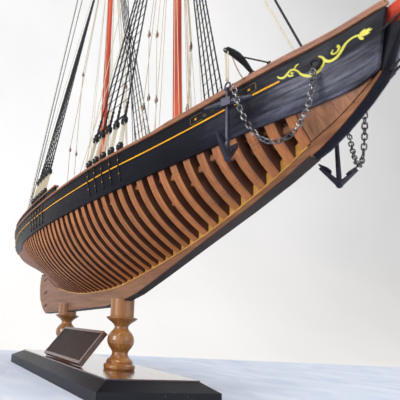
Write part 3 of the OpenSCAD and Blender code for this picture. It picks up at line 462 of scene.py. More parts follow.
def hull_paint(name, strakes, rough, light, painted_sheen_colour, gloss):
    """Black paint laid on with a brush over planks; plank seams come from the texture's v coordinate."""
    m = Mat(name)
    brush = m.noise((0.11, 6.5, 1), 6, 0.68, 0.4, "UV")
    cloud = m.noise((26, 26, 60), 4, 0.55)
    speck = m.noise((900, 900, 900), 3, 0.7)
    col = m.ramp(cloud, [(0.3, (0.003, 0.003, 0.005, 1)), (0.7, light)])
    edge = m.math("ABSOLUTE", m.sub(m.math("FRACT", m.add(m.split("UV")[1], 0.5)), 0.5))
    seam = m.fade(edge, 0.0, 0.035)
    height = m.add(m.mul(brush, 0.5), m.add(m.mul(speck, 0.22), m.mul(seam, strakes)))
    # painted reflection: the forward part is coloured a blue-grey sheen in streaks and patches, and the same
    # mask raises its gloss; the rest is dead black
    forward = m.fade(m.mul(m.split()[0], 1 / 0.3), 0.68, 0.9)
    streak = m.noise((0.05, 2.2, 1), 5, 0.65, 0.5, "UV")
    patch = m.noise((22, 22, 46), 4, 0.6, 0.8)
    bow_painted_sheen_and_gloss = m.mul(forward, m.fade(streak, 0.35, 0.65, 0.2, 1))
    bow_painted_sheen_and_gloss = m.mul(bow_painted_sheen_and_gloss, m.fade(patch, 0.4, 0.6, 0.12, 1))
    bow_painted_sheen_and_gloss = m.mul(bow_painted_sheen_and_gloss, m.add(m.mul(speck, 0.9), 0.45))
    mat = m.done(m.mix(bow_painted_sheen_and_gloss, col, painted_sheen_colour), m.add(m.mul(speck, 0.25), rough), m.bump(height, 0.75))
    m.link(m.add(m.mul(bow_painted_sheen_and_gloss, gloss), 0.1), m.b.inputs["Specular IOR Level"])
    return mat


def stand_paint():
    """Black paint with a few metallic specks, whose pale colour is a painted glint."""
    m = Mat("stand_paint")
    speck = m.node("ShaderNodeTexVoronoi")
    speck.inputs["Scale"].default_value = 900
    m.link(m.coords((1, 1, 1)), speck.inputs["Vector"])
    # painted glints: the specks are mixed into the colour as pale blue-grey spots
    glint = m.fade(speck.outputs["Color"], 0.93, 1.0)
    cloud = m.noise((20, 20, 20), 4, 0.5)
    fine = m.noise((500, 500, 500), 4, 0.6)
    col = m.ramp(cloud, [(0.3, (0.003, 0.003, 0.006, 1)), (0.7, (0.008, 0.009, 0.015, 1))])
    col = m.mix(m.mul(glint, 0.5), col, rgb(120, 124, 150))
    return m.done(col, m.add(m.mul(fine, 0.25), 0.34), m.bump(fine, 0.35), spec=0.3)


def plain(name, dark, light, rough, metal=0.0, scale=400, relief=0.25, spec=0.5):
    """Painted or metal surface with soft clouds of tone and a fine grain."""
    m = Mat(name)
    cloud = m.noise((scale / 8,) * 3, 5, 0.6)
    fine = m.noise((scale * 2,) * 3, 4, 0.65)
    col = m.value(m.ramp(cloud, [(0.3, dark), (0.7, light)]), m.add(m.tone(), 1.0))
    return m.done(col, m.add(m.mul(fine, 0.25), rough - 0.12), m.bump(fine, relief, 0.0001), metal, spec=spec)


def cord(name, dark, light, pitch, rough=0.75):
    """Laid cord: strands turn round the tube, with loose fibres over them."""
    m = Mat(name)
    length, around = m.split("UV")[:2]
    turns = m.add(m.math("DIVIDE", length, pitch), m.mul(around, 3.0))
    wave = m.add(m.mul(m.math("SINE", m.mul(turns, TAU)), 0.5), 0.5)
    fibre = m.noise((2.2, 9, 1), 4, 0.6, kind="UV")
    # painted shade: each cord is coloured darker in the grooves between its strands and lighter on their
    # crowns
    col = m.mix(m.mul(wave, 0.9), dark, light)
    col = m.value(col, m.add(m.add(m.mul(fibre, 0.3), 0.85), m.tone()))
    return m.done(col, rough, m.bump(m.add(wave, m.mul(fibre, 0.3)), 0.8, 0.00012))


def deck_planks():
    """Planks of equal width with dark seams, staggered butts and a tone of their own."""
    m = Mat("deck_wood")
    x, y = m.split()[:2]
    row = m.mul(y, 1000 / 3.1)
    seam = m.math("GREATER_THAN", m.math("ABSOLUTE", m.sub(m.math("FRACT", row), 0.5)), 0.455)
    butt = m.math("FRACT", m.add(m.mul(x, 11), m.mul(m.math("FLOOR", row), 0.37)))
    seam = m.math("MAXIMUM", seam, m.math("LESS_THAN", butt, 0.004))
    grain = m.noise((20, 420, 60), 6, 0.6, 0.4)
    per = m.node("ShaderNodeTexWhiteNoise", noise_dimensions="1D")
    m.link(m.math("FLOOR", row), per.inputs["W"])
    col = m.ramp(grain, [(0.3, rgb(150, 108, 66)), (0.55, rgb(190, 148, 100)), (0.75, rgb(208, 170, 122))])
    col = m.value(col, m.add(m.mul(per.outputs["Value"], 0.22), 0.88))
    col = m.mix(m.mul(seam, 0.75), col, rgb(48, 30, 20))
    return m.done(col, 0.5, m.bump(m.sub(grain, seam), 0.3, 0.0001))


FRAME_WOOD = wood("frame_wood", rgb(122, 66, 32), rgb(168, 101, 50), rgb(198, 133, 74),
                  (0.05, 1.6, 1), 0.55, kind="UV", joints=31.0, flanks=rgb(56, 22, 12))
KEEL_WOOD = wood("keel_wood", rgb(84, 48, 26), rgb(122, 76, 45), rgb(150, 100, 64),
                 (16, 200, 260), 0.45, turn=(0, 0.25, 0))
BOW_WOOD = wood("bow_wood", rgb(96, 54, 30), rgb(140, 89, 54), rgb(166, 113, 73), (260, 120, 18), 0.5)
STERN_WOOD = wood("stern_wood", rgb(98, 52, 32), rgb(140, 84, 54), rgb(166, 108, 74), (240, 90, 22), 0.5)
POST_WOOD = wood("post_wood", rgb(96, 60, 40), rgb(130, 88, 62), rgb(154, 110, 82), (22, 150, 160), 0.5)
PALE_WOOD = wood("pale_wood", rgb(150, 98, 40), rgb(192, 136, 64), rgb(212, 160, 84), (18, 200, 240), 0.42)
RAIL_WOOD = wood("rail_wood", rgb(94, 54, 32), rgb(134, 83, 51), rgb(160, 107, 71), (12, 240, 300), 0.5)
INNER_WOOD = wood("inner_wood", rgb(46, 20, 12), rgb(78, 38, 22), rgb(104, 54, 32), (20, 180, 180), 0.55)
TURNED_WOOD = wood("turned_wood", rgb(100, 58, 26), rgb(144, 93, 46), rgb(174, 122, 68),
                   (130, 130, 12), 0.3, coat=0.3)
PLAQUE_WOOD = wood("plaque_wood", rgb(44, 22, 15), rgb(82, 44, 28), rgb(112, 64, 42),
                   (14, 160, 160), 0.3, coat=0.4)
PANEL_WOOD = wood("polished_panel", rgb(38, 20, 14), rgb(72, 38, 26), rgb(104, 60, 42),
                  (9, 90, 90), 0.14, coat=0.9)
DARK_WOOD = wood("dark_wood", rgb(34, 18, 12), rgb(62, 34, 22), rgb(88, 52, 34), (20, 160, 160), 0.45)
NATURAL_SPAR = wood("natural_spar", rgb(150, 100, 56), rgb(196, 146, 92), rgb(216, 172, 120),
                    (10, 160, 160), 0.35, coat=0.3)
DECK = deck_planks()
SPAR = spar_paint()
STAND = stand_paint()
# both hull paints carry a painted sheen at the bow: strong on the lower planking, faint on the upper, which
# lies more in shade
HULL_LOW = hull_paint("hull_black", 0.8, 0.3, (0.007, 0.007, 0.012, 1), (0.1, 0.1, 0.15, 1), 0.6)
HULL_HIGH = hull_paint("hull_black_upper", 0.0, 0.36, (0.006, 0.006, 0.009, 1),
                       (0.016, 0.016, 0.026, 1), 0.25)
STEM_BLACK = plain("stem_black", (0.002, 0.002, 0.004, 1), (0.009, 0.009, 0.016, 1), 0.5,
                   scale=200, relief=0.5, spec=0.15)
# painted shade: the keel shoe is coloured dark brown-grey for the shade on the keel's underside
KEEL_SHOE_SHADE = plain("dark_paint", rgb(34, 24, 21), rgb(58, 44, 38), 0.5, scale=260, spec=0.25)
BLACK_FIT = plain("fitting_black", (0.003, 0.003, 0.004, 1), (0.009, 0.009, 0.010, 1), 0.5,
                  scale=500, spec=0.25)
ANCHOR_MAT = plain("anchor_metal", (0.010, 0.010, 0.018, 1), (0.040, 0.040, 0.062, 1), 0.36, 0.3, 380, 0.5,
                   spec=0.4)
CHAIN_MAT = plain("chain_metal", rgb(60, 56, 56), rgb(150, 148, 150), 0.26, 0.95, 900, 0.3)
BRASS = plain("rivet_brass", rgb(140, 104, 40), rgb(206, 166, 82), 0.3, 0.9, 600)
BRONZE = plain("plaque_bronze", rgb(16, 9, 7), rgb(54, 32, 26), 0.5, 0.0, 700, 0.5, spec=0.12)
WHITE = plain("white_paint", rgb(206, 202, 192), rgb(232, 229, 220), 0.5, scale=200)
GOLD = plain("stripe_gold", rgb(206, 134, 6), rgb(236, 168, 20), 0.5, 0.0, 500, spec=0.15)
FAINT_GOLD = plain("panel_gold", rgb(84, 66, 20), rgb(140, 114, 44), 0.45, 0.2, 500)
SCROLL = plain("scroll_yellow", rgb(178, 168, 44), rgb(222, 214, 100), 0.5, 0.0, 500, spec=0.25)
BLOCK_WOOD = wood("block_wood", rgb(96, 58, 34), rgb(146, 96, 62), rgb(170, 120, 84), (90, 90, 40), 0.5)
BLACK_CORD = cord("black_cord", (0.003, 0.003, 0.003, 1), (0.012, 0.011, 0.012, 1), 0.9, 0.8)
CREAM_CORD = cord("cream_cord", rgb(176, 160, 126), rgb(232, 222, 196), 0.7)
TAN_CORD = cord("tan_cord", rgb(134, 104, 70), rgb(196, 164, 120), 0.7)

# ---------------- carried-over CAD nodes
for mat, bevel, nodes in (
        (STAND, 0.5, "base_board"),
        (PANEL_WOOD, 0.25, "base_top_panel"),
        (TURNED_WOOD, 0.25, "fore_pedestal aft_pedestal"),
        (BRASS, 0.1, "pedestal_screws"),
        (PLAQUE_WOOD, 0.5, "plaque_frame"),
        (BRONZE, 0.25, "plaque_plate"),
        (KEEL_WOOD, 0.25, "keel"),
        (KEEL_WOOD, 0.2, "stem"),
        (KEEL_SHOE_SHADE, 0.15, "keel_shoe"),
        (STEM_BLACK, 0.2, "cutwater"),
        (POST_WOOD, 0.25, "sternpost"),
        (POST_WOOD, 0.3, "rudder"),
        (PALE_WOOD, 0.12, "rising_wood"),
        (STERN_WOOD, 0, "stern_filler"),
        (HULL_LOW, 0.3, "transom"),
        (HULL_HIGH, 0.15, "monkey_rails"),
        (DECK, 0, "main_deck quarterdeck"),
        (DECK, 0.2, "main_hatch"),
        (INNER_WOOD, 0.2, "deck_beams"),
        (INNER_WOOD, 0.15, "stringers"),
        (WHITE, 0.15, "bulwark_stanchions"),
        (WHITE, 0.25, "cabin_trunk forecastle_hatch"),
        (RAIL_WOOD, 0.25, "monkey_caps cabin_slide wheel_box"),
        (RAIL_WOOD, 0.2, "windlass_posts"),
        (DARK_WOOD, 0.2, "windlass_barrel crosstrees"),
        (DARK_WOOD, 0.25, "mast_caps"),
        (DARK_WOOD, 0.15, "deck_pumps"),
        (DARK_WOOD, 0.08, "steering_wheel"),
        (SPAR, 0.2, "fore_mast main_mast fore_topmast main_topmast"),
        (SPAR, 0.25, "bowsprit"),
        (NATURAL_SPAR, 0.15, "main_boom fore_boom main_gaff fore_gaff")):
    for node in nodes.split():
        dress(node, mat, bevel)

# ---------------- ribs
PITCH, FIRST_X, RIBS, SIDING, FOOT, HEAD, CHAMFER = 9.7, 250.6, 38, 4.7, 7.5, 4.0, 0.16


def rib_top(x):
    return min(deck_z(x - SIDING), deck_z(x + SIDING), rail_z(x) - 11) - DECK_T - 0.3


def rib_side(batch, x, side, tone):
    """Half a rib: its outer face follows the hull on both the fore and the aft edge."""
    n = 26
    top = rib_top(x)
    half = SIDING / 2
    flat = half - CHAMFER
    secs = {dx: corner(x + dx) for dx in (-half, -flat, flat, half)}
    u_top = {dx: seek(p, top) for dx, p in secs.items()}
    rings, uvs, run, last = [], [], 0.0, None

    def at(dx, t, depth):
        p = secs[dx]
        u = u_top[dx] * t
        y, z = bez(p, u)
        d = slope(p, u)
        return (x + dx, side * max(y - depth * d[1], 0.05), z + depth * d[0])
    for i in range(n + 1):
        t = i / n
        dep = FOOT + (HEAD - FOOT) * t
        ring = [at(*spot) for spot in
                ((half, t, CHAMFER), (flat, t, 0), (-flat, t, 0), (-half, t, CHAMFER),
                 (-half, t, dep - CHAMFER), (-flat, t, dep), (flat, t, dep), (half, t, dep - CHAMFER))]
        if last:
            run += math.dist(ring[1], last)
        last = ring[1]
        rings.append(ring)
        uvs += [(run, c) for c in (0.05, 0.1, 0.9, 0.95, 0.95, 0.9, 0.1, 0.05)]
    batch.rings(rings, uvs=uvs, tone=tone, flip=side < 0)


ribs = Batch()
for i in range(RIBS):
    x = FIRST_X - i * PITCH
    for side in (-1, 1):
        rib_side(ribs, x, side, random.uniform(-0.12, 0.1))
build("ribs", ribs, FRAME_WOOD, nodes=("frames",))

# small clamp blocks between the ribs under the planking, and chocks lower down between some of them
chocks = Batch()
for i in range(RIBS - 1):
    x = FIRST_X - (i + 0.5) * PITCH
    for side in (-1, 1):
        if random.random() < 0.62:
            drop = random.uniform(1.5, 5.5)
            z = band_z(x) - drop
            y = hull_y(x, z) - random.uniform(3.4, 4.6)
            chocks.block((x, side * y, z), (PITCH - SIDING - 0.3, 2.6, 3.2), tone=random.uniform(-0.2, 0.05))
        if 4 < i < 24 and random.random() < 0.5:
            z = rabbet_z(x) + (rail_z(x) - rabbet_z(x)) * random.uniform(0.3, 0.38)
            y = hull_y(x, z) - 5.4
            chocks.block((x, side * y, z), (PITCH - SIDING - 0.3, 2.4, 2.2), tone=random.uniform(-0.25, 0.0))
build("rib_chocks", chocks, BOW_WOOD, bevel=0.15)

# ---------------- solid ends of the hull
BOW_AFT, BOW_FORE, STERN_AFT, STERN_FORE = 253.4, 284, -309.6, -111.3
SKIN_LIFT = 0.1


def end_skin(batch, x0, x1, n, y_in, side):
    """Outer timber of a solid end, from the keel to just under the deck."""
    rings = []
    rows = 24
    for x in span(x0, x1, n):
        p = corner(x)
        top = seek(p, deck_z(x) - DECK_T - 0.5)
        pts = [bez(p, t) for t in span(0, top, rows)]
        skin_pts = [(y_in, pts[0][1])] + [(max(y, y_in + 0.1), z) for y, z in pts] + [(y_in, pts[-1][1])]
        rings.append([(x, side * y, z + SKIN_LIFT) for y, z in skin_pts])
    batch.rings(rings, flip=side > 0)


bow, stern = Batch(), Batch()
for side in (-1, 1):
    end_skin(bow, BOW_FORE, BOW_AFT, 24, KEEL_HALF + 0.3, side)
    end_skin(stern, STERN_FORE, STERN_AFT, 80, KEEL_HALF + 0.12, side)
build("bow_timbers", bow, BOW_WOOD, nodes=("bow_filler",))
build("stern_timbers", stern, STERN_WOOD)

# thin joint lines: at the ribs' spacing on the stern, leaning and closer together on the bow
joint_lines = Batch()
for k in range(1, 14):
    x = STERN_FORE - k * PITCH
    p = corner(x)
    top = seek(p, band_z(x))
    for side in (-1, 1):
        pts = []
        for u in span(0.03 * top, top, 20):
            (y, z), d = bez(p, u), slope(p, u)
            pts.append((x, side * (y + 0.02 * d[1]), z + SKIN_LIFT - 0.02 * d[0]))
        joint_lines.tube(pts, 0.11, 4)
for k in range(1, 4):
    foot = 254 + k * 6.4
    p = corner(foot)
    top = seek(p, band_z(foot))
    for side in (-1, 1):
        pts = []
        for t in span(0, 1, 12)[1:]:
            x, z = foot + 2.8 * (1 - t), bez(p, top * t)[1]
            pts.append((x, side * (hull_y(x, z) - 0.03), z + SKIN_LIFT))
        joint_lines.tube(pts, 0.1, 4)
build("end_joints", joint_lines, INNER_WOOD)

# ---------------- planking
GAP, PLANK = 0.25, 1.6
PLANK_X0, PLANK_X1, LEAN_X = 287.6, -309.6, 262
UPPER_IN, PAINT = 0.1, 0.12


def lean(x, z):
    """The plank ends lean forward with the stem."""
    return x if x < LEAN_X else x + ((x - LEAN_X) / (PLANK_X0 - LEAN_X)) ** 2 * (z - 148) * 0.27


def skin(wale, side):
    """The black planking below the seam (wale) or above it, three strakes high."""
    rings, uvs = [], []
    rows = 9
    strakes = span(0, 3, rows)
    for x in span(PLANK_X0, PLANK_X1, 150):
        lo = band_z(x) if wale else rail_z(x) - SEAM_DROP
        hi = max(rail_z(x) - (SEAM_DROP + 0.06 if wale else 0.16), lo + 0.5)
        outer, inner = [], []
        for i, z in enumerate(span(lo, hi, rows)):
            y = hull_y(x, z) + GAP - (0 if wale else UPPER_IN)
            rounding = 0.14 if i in (0, rows) else 0.0
            outer.append((lean(x, z), side * (y + PLANK - rounding), z))
            inner.append((lean(x, z), side * y, z))
        rings.append(outer + inner[::-1])
        uvs += [(x, v) for v in strakes + strakes[::-1]]
    b = Batch()
    b.rings(rings, uvs=uvs, flip=side < 0)
    return b


for side, word in ((1, "port"), (-1, "starboard")):
    build(word + "_wale_planks", skin(True, side), HULL_LOW, nodes=(word + "_wale",))
    build(word + "_bulwark_plank", skin(False, side), HULL_HIGH, nodes=(word + "_bulwark",))


def on_side(x, drop, off=0.0):
    """Point on the painted side, drop below the rail; off stands proud of the paint."""
    z = rail_z(x) - drop
    y = hull_y(x, z) + GAP + PLANK - (UPPER_IN if drop < SEAM_DROP else 0)
    return Vector((lean(x, z), y + off, z))


def ribbon(batch, path, half=None):
    """Flat painted line on the side of the hull, along (x, drop) pairs or (x, drop, half-width) triples."""
    rings = []
    for i, q in enumerate(path):
        a, c = path[max(i - 1, 0)], path[min(i + 1, len(path) - 1)]
        dx, dd = c[0] - a[0], c[1] - a[1]
        n = math.hypot(dx, dd) or 1
        w = half or q[2]
        one, two = (on_side(q[0] - s * dd / n * w, q[1] + s * dx / n * w) for s in (1, -1))
        rings.append([(p.x, p.y + out, p.z)
                      for p, out in ((one, -0.05), (one, PAINT), (two, PAINT), (two, -0.05))])
    batch.rings(rings)


def curl(cx, cd, r0, r1, a0, a1, w0, w1, n=22):
    """Spiral in (x, drop) space with a width that tapers."""
    out = []
    for i in range(n + 1):
        t = i / n
        a = math.radians(a0 + (a1 - a0) * t)
        r = r0 + (r1 - r0) * t
        out.append((cx + r * math.cos(a), cd + r * math.sin(a), w0 + (w1 - w0) * t))
    return out


STRIPE_DROP, STRIPE_HALF = 8.0, 0.38
stripe = Batch()
ribbon(stripe, [(x, STRIPE_DROP) for x in span(251, -300, 150)], STRIPE_HALF)
build("gold_stripe", stripe.mirror(), GOLD)

# a framed panel ahead of the stripe: corner brackets, a star at each end and plain curls between
panel, stars = Batch(), Batch()
PANEL_FORE, PANEL_AFT, PANEL_TOP, PANEL_LOW = 240, 201, 2.4, 6.6
PANEL_MID = (PANEL_TOP + PANEL_LOW) / 2
for x, inward in ((PANEL_FORE, -1), (PANEL_AFT, 1)):
    ribbon(panel, [(x, d) for d in span(PANEL_TOP + 0.7, PANEL_LOW - 0.7, 4)], 0.1)
    for d0, lift in ((PANEL_TOP, 0.7), (PANEL_LOW, -0.7)):
        ribbon(panel, [(x, d0 + lift), (x + inward * 0.3, d0 + lift * 0.3), (x + inward * 1.1, d0)], 0.1)
        ribbon(panel, [(x + inward * t, d0) for t in span(1.1, 8, 4)], 0.07)
    star_x = x + inward * 3.6
    for c, s in circle(4, TAU / 8):
        ribbon(stars, [(star_x, PANEL_MID, 0.3), (star_x + 0.95 * c, PANEL_MID + 0.95 * s, 0.05)])
for k in range(5):
    turned = 180 * (k % 2)
    ribbon(panel, curl(PANEL_FORE - 9.5 - k * 5.0, PANEL_MID, 1.3, 0.3, 20 + turned, 330 + turned,
                       0.14, 0.06, 14))
build("gilt_panel", panel.mirror(), FAINT_GOLD)
build("gilt_stars", stars.mirror(), GOLD)

# the painted bow ornament: one running vine with side curls and a leaf of five blades at its fore end
scroll = Batch()


def blend4(p0, p1, p2, p3, t):
    """Smooth curve between p1 and p2 that heads for p0 and p3."""
    terms = (((c - a) * t, (2 * a - 5 * b + 4 * c - e) * t * t, (3 * b - a - 3 * c + e) * t ** 3, 2 * b)
             for a, b, c, e in zip(p0, p1, p2, p3))
    return tuple(0.5 * sum(four) for four in terms)


def vine(points, w_end, w_mid, n=8):
    """Smooth curve through (x, drop) points; the half-width swells from w_end to w_mid in the middle."""
    path, m = [], len(points) - 1
    for i in range(m):
        near = [points[max(min(i + k, m), 0)] for k in (-1, 0, 1, 2)]
        path += [blend4(*near, j / n) for j in range(n)]
    path.append(points[-1])
    swell = [w_end + (w_mid - w_end) * math.sin(a) for a in span(0, math.pi, len(path) - 1)]
    ribbon(scroll, [(x, d, w) for (x, d), w in zip(path, swell)])


vine([(281.6, 6.0), (279.2, 5.2), (276.9, 5.9), (275.3, 8.0), (273.6, 9.7), (271.2, 9.9), (269.6, 8.6),
      (268.7, 6.6), (267.4, 5.2)], 0.26, 0.6)
vine([(269.2, 8.4), (268.5, 10.2), (266.4, 11.9), (263.4, 12.0), (261.0, 10.4), (259.4, 8.4)], 0.3, 0.62)
vine([(259.8, 8.6), (258.2, 6.4), (256.4, 5.4), (254.8, 6.2), (253.2, 7.2), (251.4, 6.6), (250.4, 5.2)],
     0.2, 0.5)
vine([(254.6, 6.6), (255.6, 7.9), (257.2, 8.3)], 0.14, 0.36)
vine([(257.6, 6.0), (258.4, 4.6), (259.6, 4.2)], 0.14, 0.34)
ribbon(scroll, curl(272.9, 6.4, 1.9, 0.6, -60, 250, 0.46, 0.22))
ribbon(scroll, curl(256.6, 6.9, 0.5, 0.3, 0, 300, 0.3, 0.2, 12))
for dx, dd, w in ((3.4, -0.6, 0.5), (3.3, 1.0, 0.5), (2.0, -1.5, 0.4), (1.6, 2.2, 0.42), (4.0, 0.2, 0.4)):
    vine([(280.8, 6.0), (280.8 + dx * 0.55, 6.1 + dd * 0.7), (280.8 + dx, 6.2 + dd)], 0.14, w, 6)
build("bow_scroll", scroll.mirror(), SCROLL)

# freeing ports in the upper planking
PORTS, PORT_X, PORT_STEP, PORT_DROP = 9, -70, 17.5, 10.9
ports = Batch()
for k in range(PORTS):
    a = on_side(PORT_X - k * PORT_STEP, PORT_DROP)
    ports.block((a.x, a.y + 0.1, a.z), (8.0, 0.6, 1.5))
build("freeing_ports", ports.mirror(), BLACK_FIT, bevel=0.1)

# rudder irons: straps on the blade and the matching ones on the sternpost, square to the sloping post
HEEL, POST, SQUARE = Vector((-158, 0, 53.3)), Vector((-0.3204, 0, 0.9473)), Vector((0.9473, 0, 0.3204))
POST_TURN = Matrix((SQUARE, (0, 1, 0), POST)).transposed()
IRON_HEIGHTS, BLADE_HALF = (10, 27, 44), 2.3
for name, body, sense, half, clear in (("rudder_straps", "rudder", -1, BLADE_HALF, 2.1),
                                       ("post_straps", "hull", 1, KEEL_HALF, 0.2)):
    irons = Batch()
    across = SQUARE * sense
    for up in IRON_HEIGHTS:
        start = HEEL + POST * (up - 1.2 * sense) + across * clear
        for s in (-1, 1):
            irons.block(start + across * 3.2 + Vector((0, s * (half + 0.12), 0)), (6.0, 0.3, 1.6), POST_TURN)
            for k in (1.4, 4.6):
                irons.ball(start + across * k + Vector((0, s * (half + 0.3), 0)), 0.34, 6)
    build(name, irons, BLACK_FIT, body=body)

# ---------------- rails
RAIL_T, UPPER_RAIL_T, RAIL_ROUND = 1.8, 1.7, 0.45


def rail_strip(batch, x0, x1, n, z_off, height, y_out, y_in, ramp=0.0):
    """Cap rail with eased edges; it tapers down over its last ramp millimetres."""
    rings = []
    for x in span(x0, x1, n):
        h = height * min(1.0, 0.12 + (x - x1) / ramp) if ramp else height
        z = rail_z(x) + z_off
        yi = max(rail_y(x) - y_in, 4.1)
        yo = max(rail_y(x) + y_out, yi + 1)
        c = min(RAIL_ROUND, h / 3)
        rings.append([(x, y, z + up) for y, up in
                      ((yo - c * 0.6, 0), (yo, c), (yo, h - c), (yo - c, h),
                       (yi + c, h), (yi, h - c), (yi, c), (yi + c, 0))])
    batch.rings(rings)


rails = Batch()
rail_strip(rails, 294.5, PLANK_X1 - 2.4, 150, 0, RAIL_T, 2.9, 2.6)
rail_strip(rails, 293.5, 170, 60, UPPER_RAIL_T, UPPER_RAIL_T, 2.6, 2.2, ramp=16.0)
for side, word in ((1, "port"), (-1, "starboard")):
    b = Batch()
    b.v = [(x, side * y, z) for x, y, z in rails.v]
    b.f = rails.f if side > 0 else [f[::-1] for f in rails.f]
    b.uv, b.tone = rails.uv, rails.tone
    build(word + "_cap_rail", b, RAIL_WOOD, nodes=(word + "_rail",))

# ---------------- rigging, placed as in the CAD source
FORE_X, MAIN_X, FORE_RAKE, MAIN_RAKE = 134, -9, 2.8, 3.6
FORE_CAP, MAIN_CAP, FORE_TRUCK, MAIN_TRUCK, DOUBLING, TOP_GAP = 490, 535, 655, 725, 36, 6.6
EYE_R, EYE_T, SHROUDS, LANYARD = 2.7, 2.4, 5, 20
MONKEY_X, MONKEY_RISE = 38, RAIL_T + 5.2 + 1.3 + 0.12


def mast_pt(x, rake, z):
    return Vector((x - math.tan(math.radians(rake)) * (z - rail_z(x)), 0, z))


def fore_pt(z):
    return mast_pt(FORE_X, FORE_RAKE, z)


def main_pt(z):
    return mast_pt(MAIN_X, MAIN_RAKE, z)


# below, m is 0 for the fore mast and 1 for the main mast, and i counts the shrouds from forward
def eye_x(m, i):
    return 140 - 9.25 * i if m == 0 else 9 - 10 * i


def hound(m):
    return fore_pt(FORE_CAP - DOUBLING - 1) if m == 0 else main_pt(MAIN_CAP - DOUBLING - 1)


def eye_low(m, i):
    x = eye_x(m, i)
    rise = MONKEY_RISE if x < MONKEY_X else RAIL_T
    return Vector((x, rail_y(x) + 1, rail_z(x) + rise + EYE_R + 0.3))


def eye_dir(m, i):
    return (hound(m) + Vector((-2, 3.6 - i * 0.3, 0)) - eye_low(m, i)).normalized()


def shroud_len(m, i):
    return (hound(m) - eye_low(m, i)).length - 6


eyes, strops, lines, hitches, served = Batch(), Batch(), Batch(), Batch(), Batch()
ratlines, plates, rivets = Batch(), Batch(), Batch()
RAT_STEP, RAT_FIRST, RAT_N = 8.5, 18, 40
STRAP_HALF, STRAP_OUT = 0.5, 0.2
SHOWN_R, SHOWN_T = EYE_R + 0.4, EYE_T + 0.9
EYE_PROFILE = [(SHOWN_R * r, SHOWN_T * h) for r, h in
               ((0.03, -.5), (0.6, -.5), (0.86, -.42), (1, -.25), (0.86, 0),
                (1, .25), (0.86, .42), (0.6, .5), (0.03, .5))]


def deadeye(at, d, flat):
    """Turned disc with a scored rim, its strop and the bosses over its holes."""
    eyes.spin(at, flat, EYE_PROFILE, 24)
    strops.ring_link(at, d, flat, 0, SHOWN_R * 0.98, 0.5)
    for k in (-1, 1):
        strops.ball(at + flat * k * SHOWN_T * 0.5, 0.85, 7)


def lanyard(low, high, d, flat):
    """Three pairs of lines rove between two deadeyes, and the tail turned round above them."""
    side_v = d.cross(flat).normalized()
    for k in (-1, 0, 1):
        inset = d * (0.9 if k == 0 else 0.2)
        a = low + side_v * k * 2.1 + inset
        b = high + side_v * k * 1.9 - inset
        for s in (-1, 1):
            off = flat * (EYE_T / 2 + 0.2) * s
            lines.tube([a + off, a + d * 2.8 + off * 0.3, b - d * 2.8 + off * 0.3, b + off], 0.24, 6)
        lines.ball(a + flat * (EYE_T / 2 + 0.3), 0.42, 6)
    lines.tube([high + d * (2.6 + a * 0.07) + side_v * 0.5 * math.cos(a) + flat * 0.55 * math.sin(a)
                for a in span(0, 26, 60)], 0.2, 5)


def shroud(high, d, top):
    """Thick and served over its lower part, then laid cord."""
    s0 = high + d * 2.2
    served.tube([s0, s0 + d * 13], 0.9, 10, 0.7)
    for q in (1.5, 5.0, 8.5, 12.0):
        served.tube([s0 + d * q, s0 + d * (q + 0.9)], 1.0, 10)
    served.tube([s0 + d * 13, s0 + (top - s0) * 0.45, top], 0.6, 8, 0.5)


def chainplate(low, d):
    """Iron strap down the planking, with brass rivets and iron bosses."""
    x = low.x
    strap = [on_side(x, drop, 0.15) for drop in span(0.6, 18, 8)]
    section = [(k * STRAP_HALF, out) for k, out in ((-1, -0.1), (-1, STRAP_OUT), (1, STRAP_OUT), (1, -0.1))]
    plates.rings([[(p.x + along, p.y + out, p.z) for along, out in section] for p in strap])
    plates.tube([low - d * 1.6, Vector((x, rail_y(x) + 2.0, rail_z(x) + 0.6)), strap[0]], 0.42, 8)
    for batch, size, drops in ((rivets, 0.62, (4.6, 13.6)), (plates, 0.75, (8.6, 17.6))):
        for drop in drops:
            batch.ball(on_side(x, drop, 0.5), size, 8, (1, 0.6, 1))


def sheer_pole(m, first, last):
    """Bar lashed just above the upper deadeyes."""
    ends = [eye_low(m, i) + (LANYARD + 3.4) * eye_dir(m, i) + Vector((over, 1.1, 0))
            for i, over in ((first, 1.8), (last, -1.8))]
    plates.tube(ends, 0.62, 10)


def ratline(m, r):
    """Line that sags a little between shrouds and is hitched round each one, r along them."""
    pts = [eye_low(m, i) + eye_dir(m, i) * (r + random.uniform(-0.35, 0.35)) + Vector((0, 0.5, 0))
           for i in range(SHROUDS)]
    path = []
    for a, b in zip(pts, pts[1:]):
        sag = 0.05 * (a - b).length
        path += [a.lerp(b, t) - Vector((0, 0, sag * 4 * t * (1 - t))) for t in (0, 0.25, 0.5, 0.75)]
    path.append(pts[-1])
    ratlines.tube(path, 0.24, 6)
    for p in pts:
        hitches.ball(p - Vector((0, 0.45, 0)), 0.78, 7, (1, 1, 0.8))


for m in (0, 1):
    for i in range(SHROUDS):
        low, d = eye_low(m, i), eye_dir(m, i)
        high = low + LANYARD * d
        flat = d.cross(Vector((1, 0, 0))).normalized()
        for at in (low, high):
            deadeye(at, d, flat)
        lanyard(low, high, d, flat)
        shroud(high, d, low + d * shroud_len(m, i))
        chainplate(low, d)
    sheer_pole(m, 0, 1)
    sheer_pole(m, 2, 4)
    for k in range(RAT_N):
        r = RAT_FIRST + LANYARD + k * RAT_STEP
        if r > shroud_len(m, SHROUDS - 1) - 22:
            break
        ratline(m, r)
build("deadeyes_turned", eyes.mirror(), BLACK_FIT, nodes=("deadeyes",))
build("deadeye_strops", strops.mirror(), BLACK_FIT)
build("shrouds_laid", served.mirror(), BLACK_CORD, nodes=("shrouds",))
build("ratlines", ratlines.mirror(), BLACK_CORD)
build("ratline_hitches", hitches.mirror(), BLACK_CORD)
build("channel_irons", plates.mirror(), BLACK_FIT, nodes=("chainplates",))
build("strap_rivets", rivets.mirror(), BRASS)

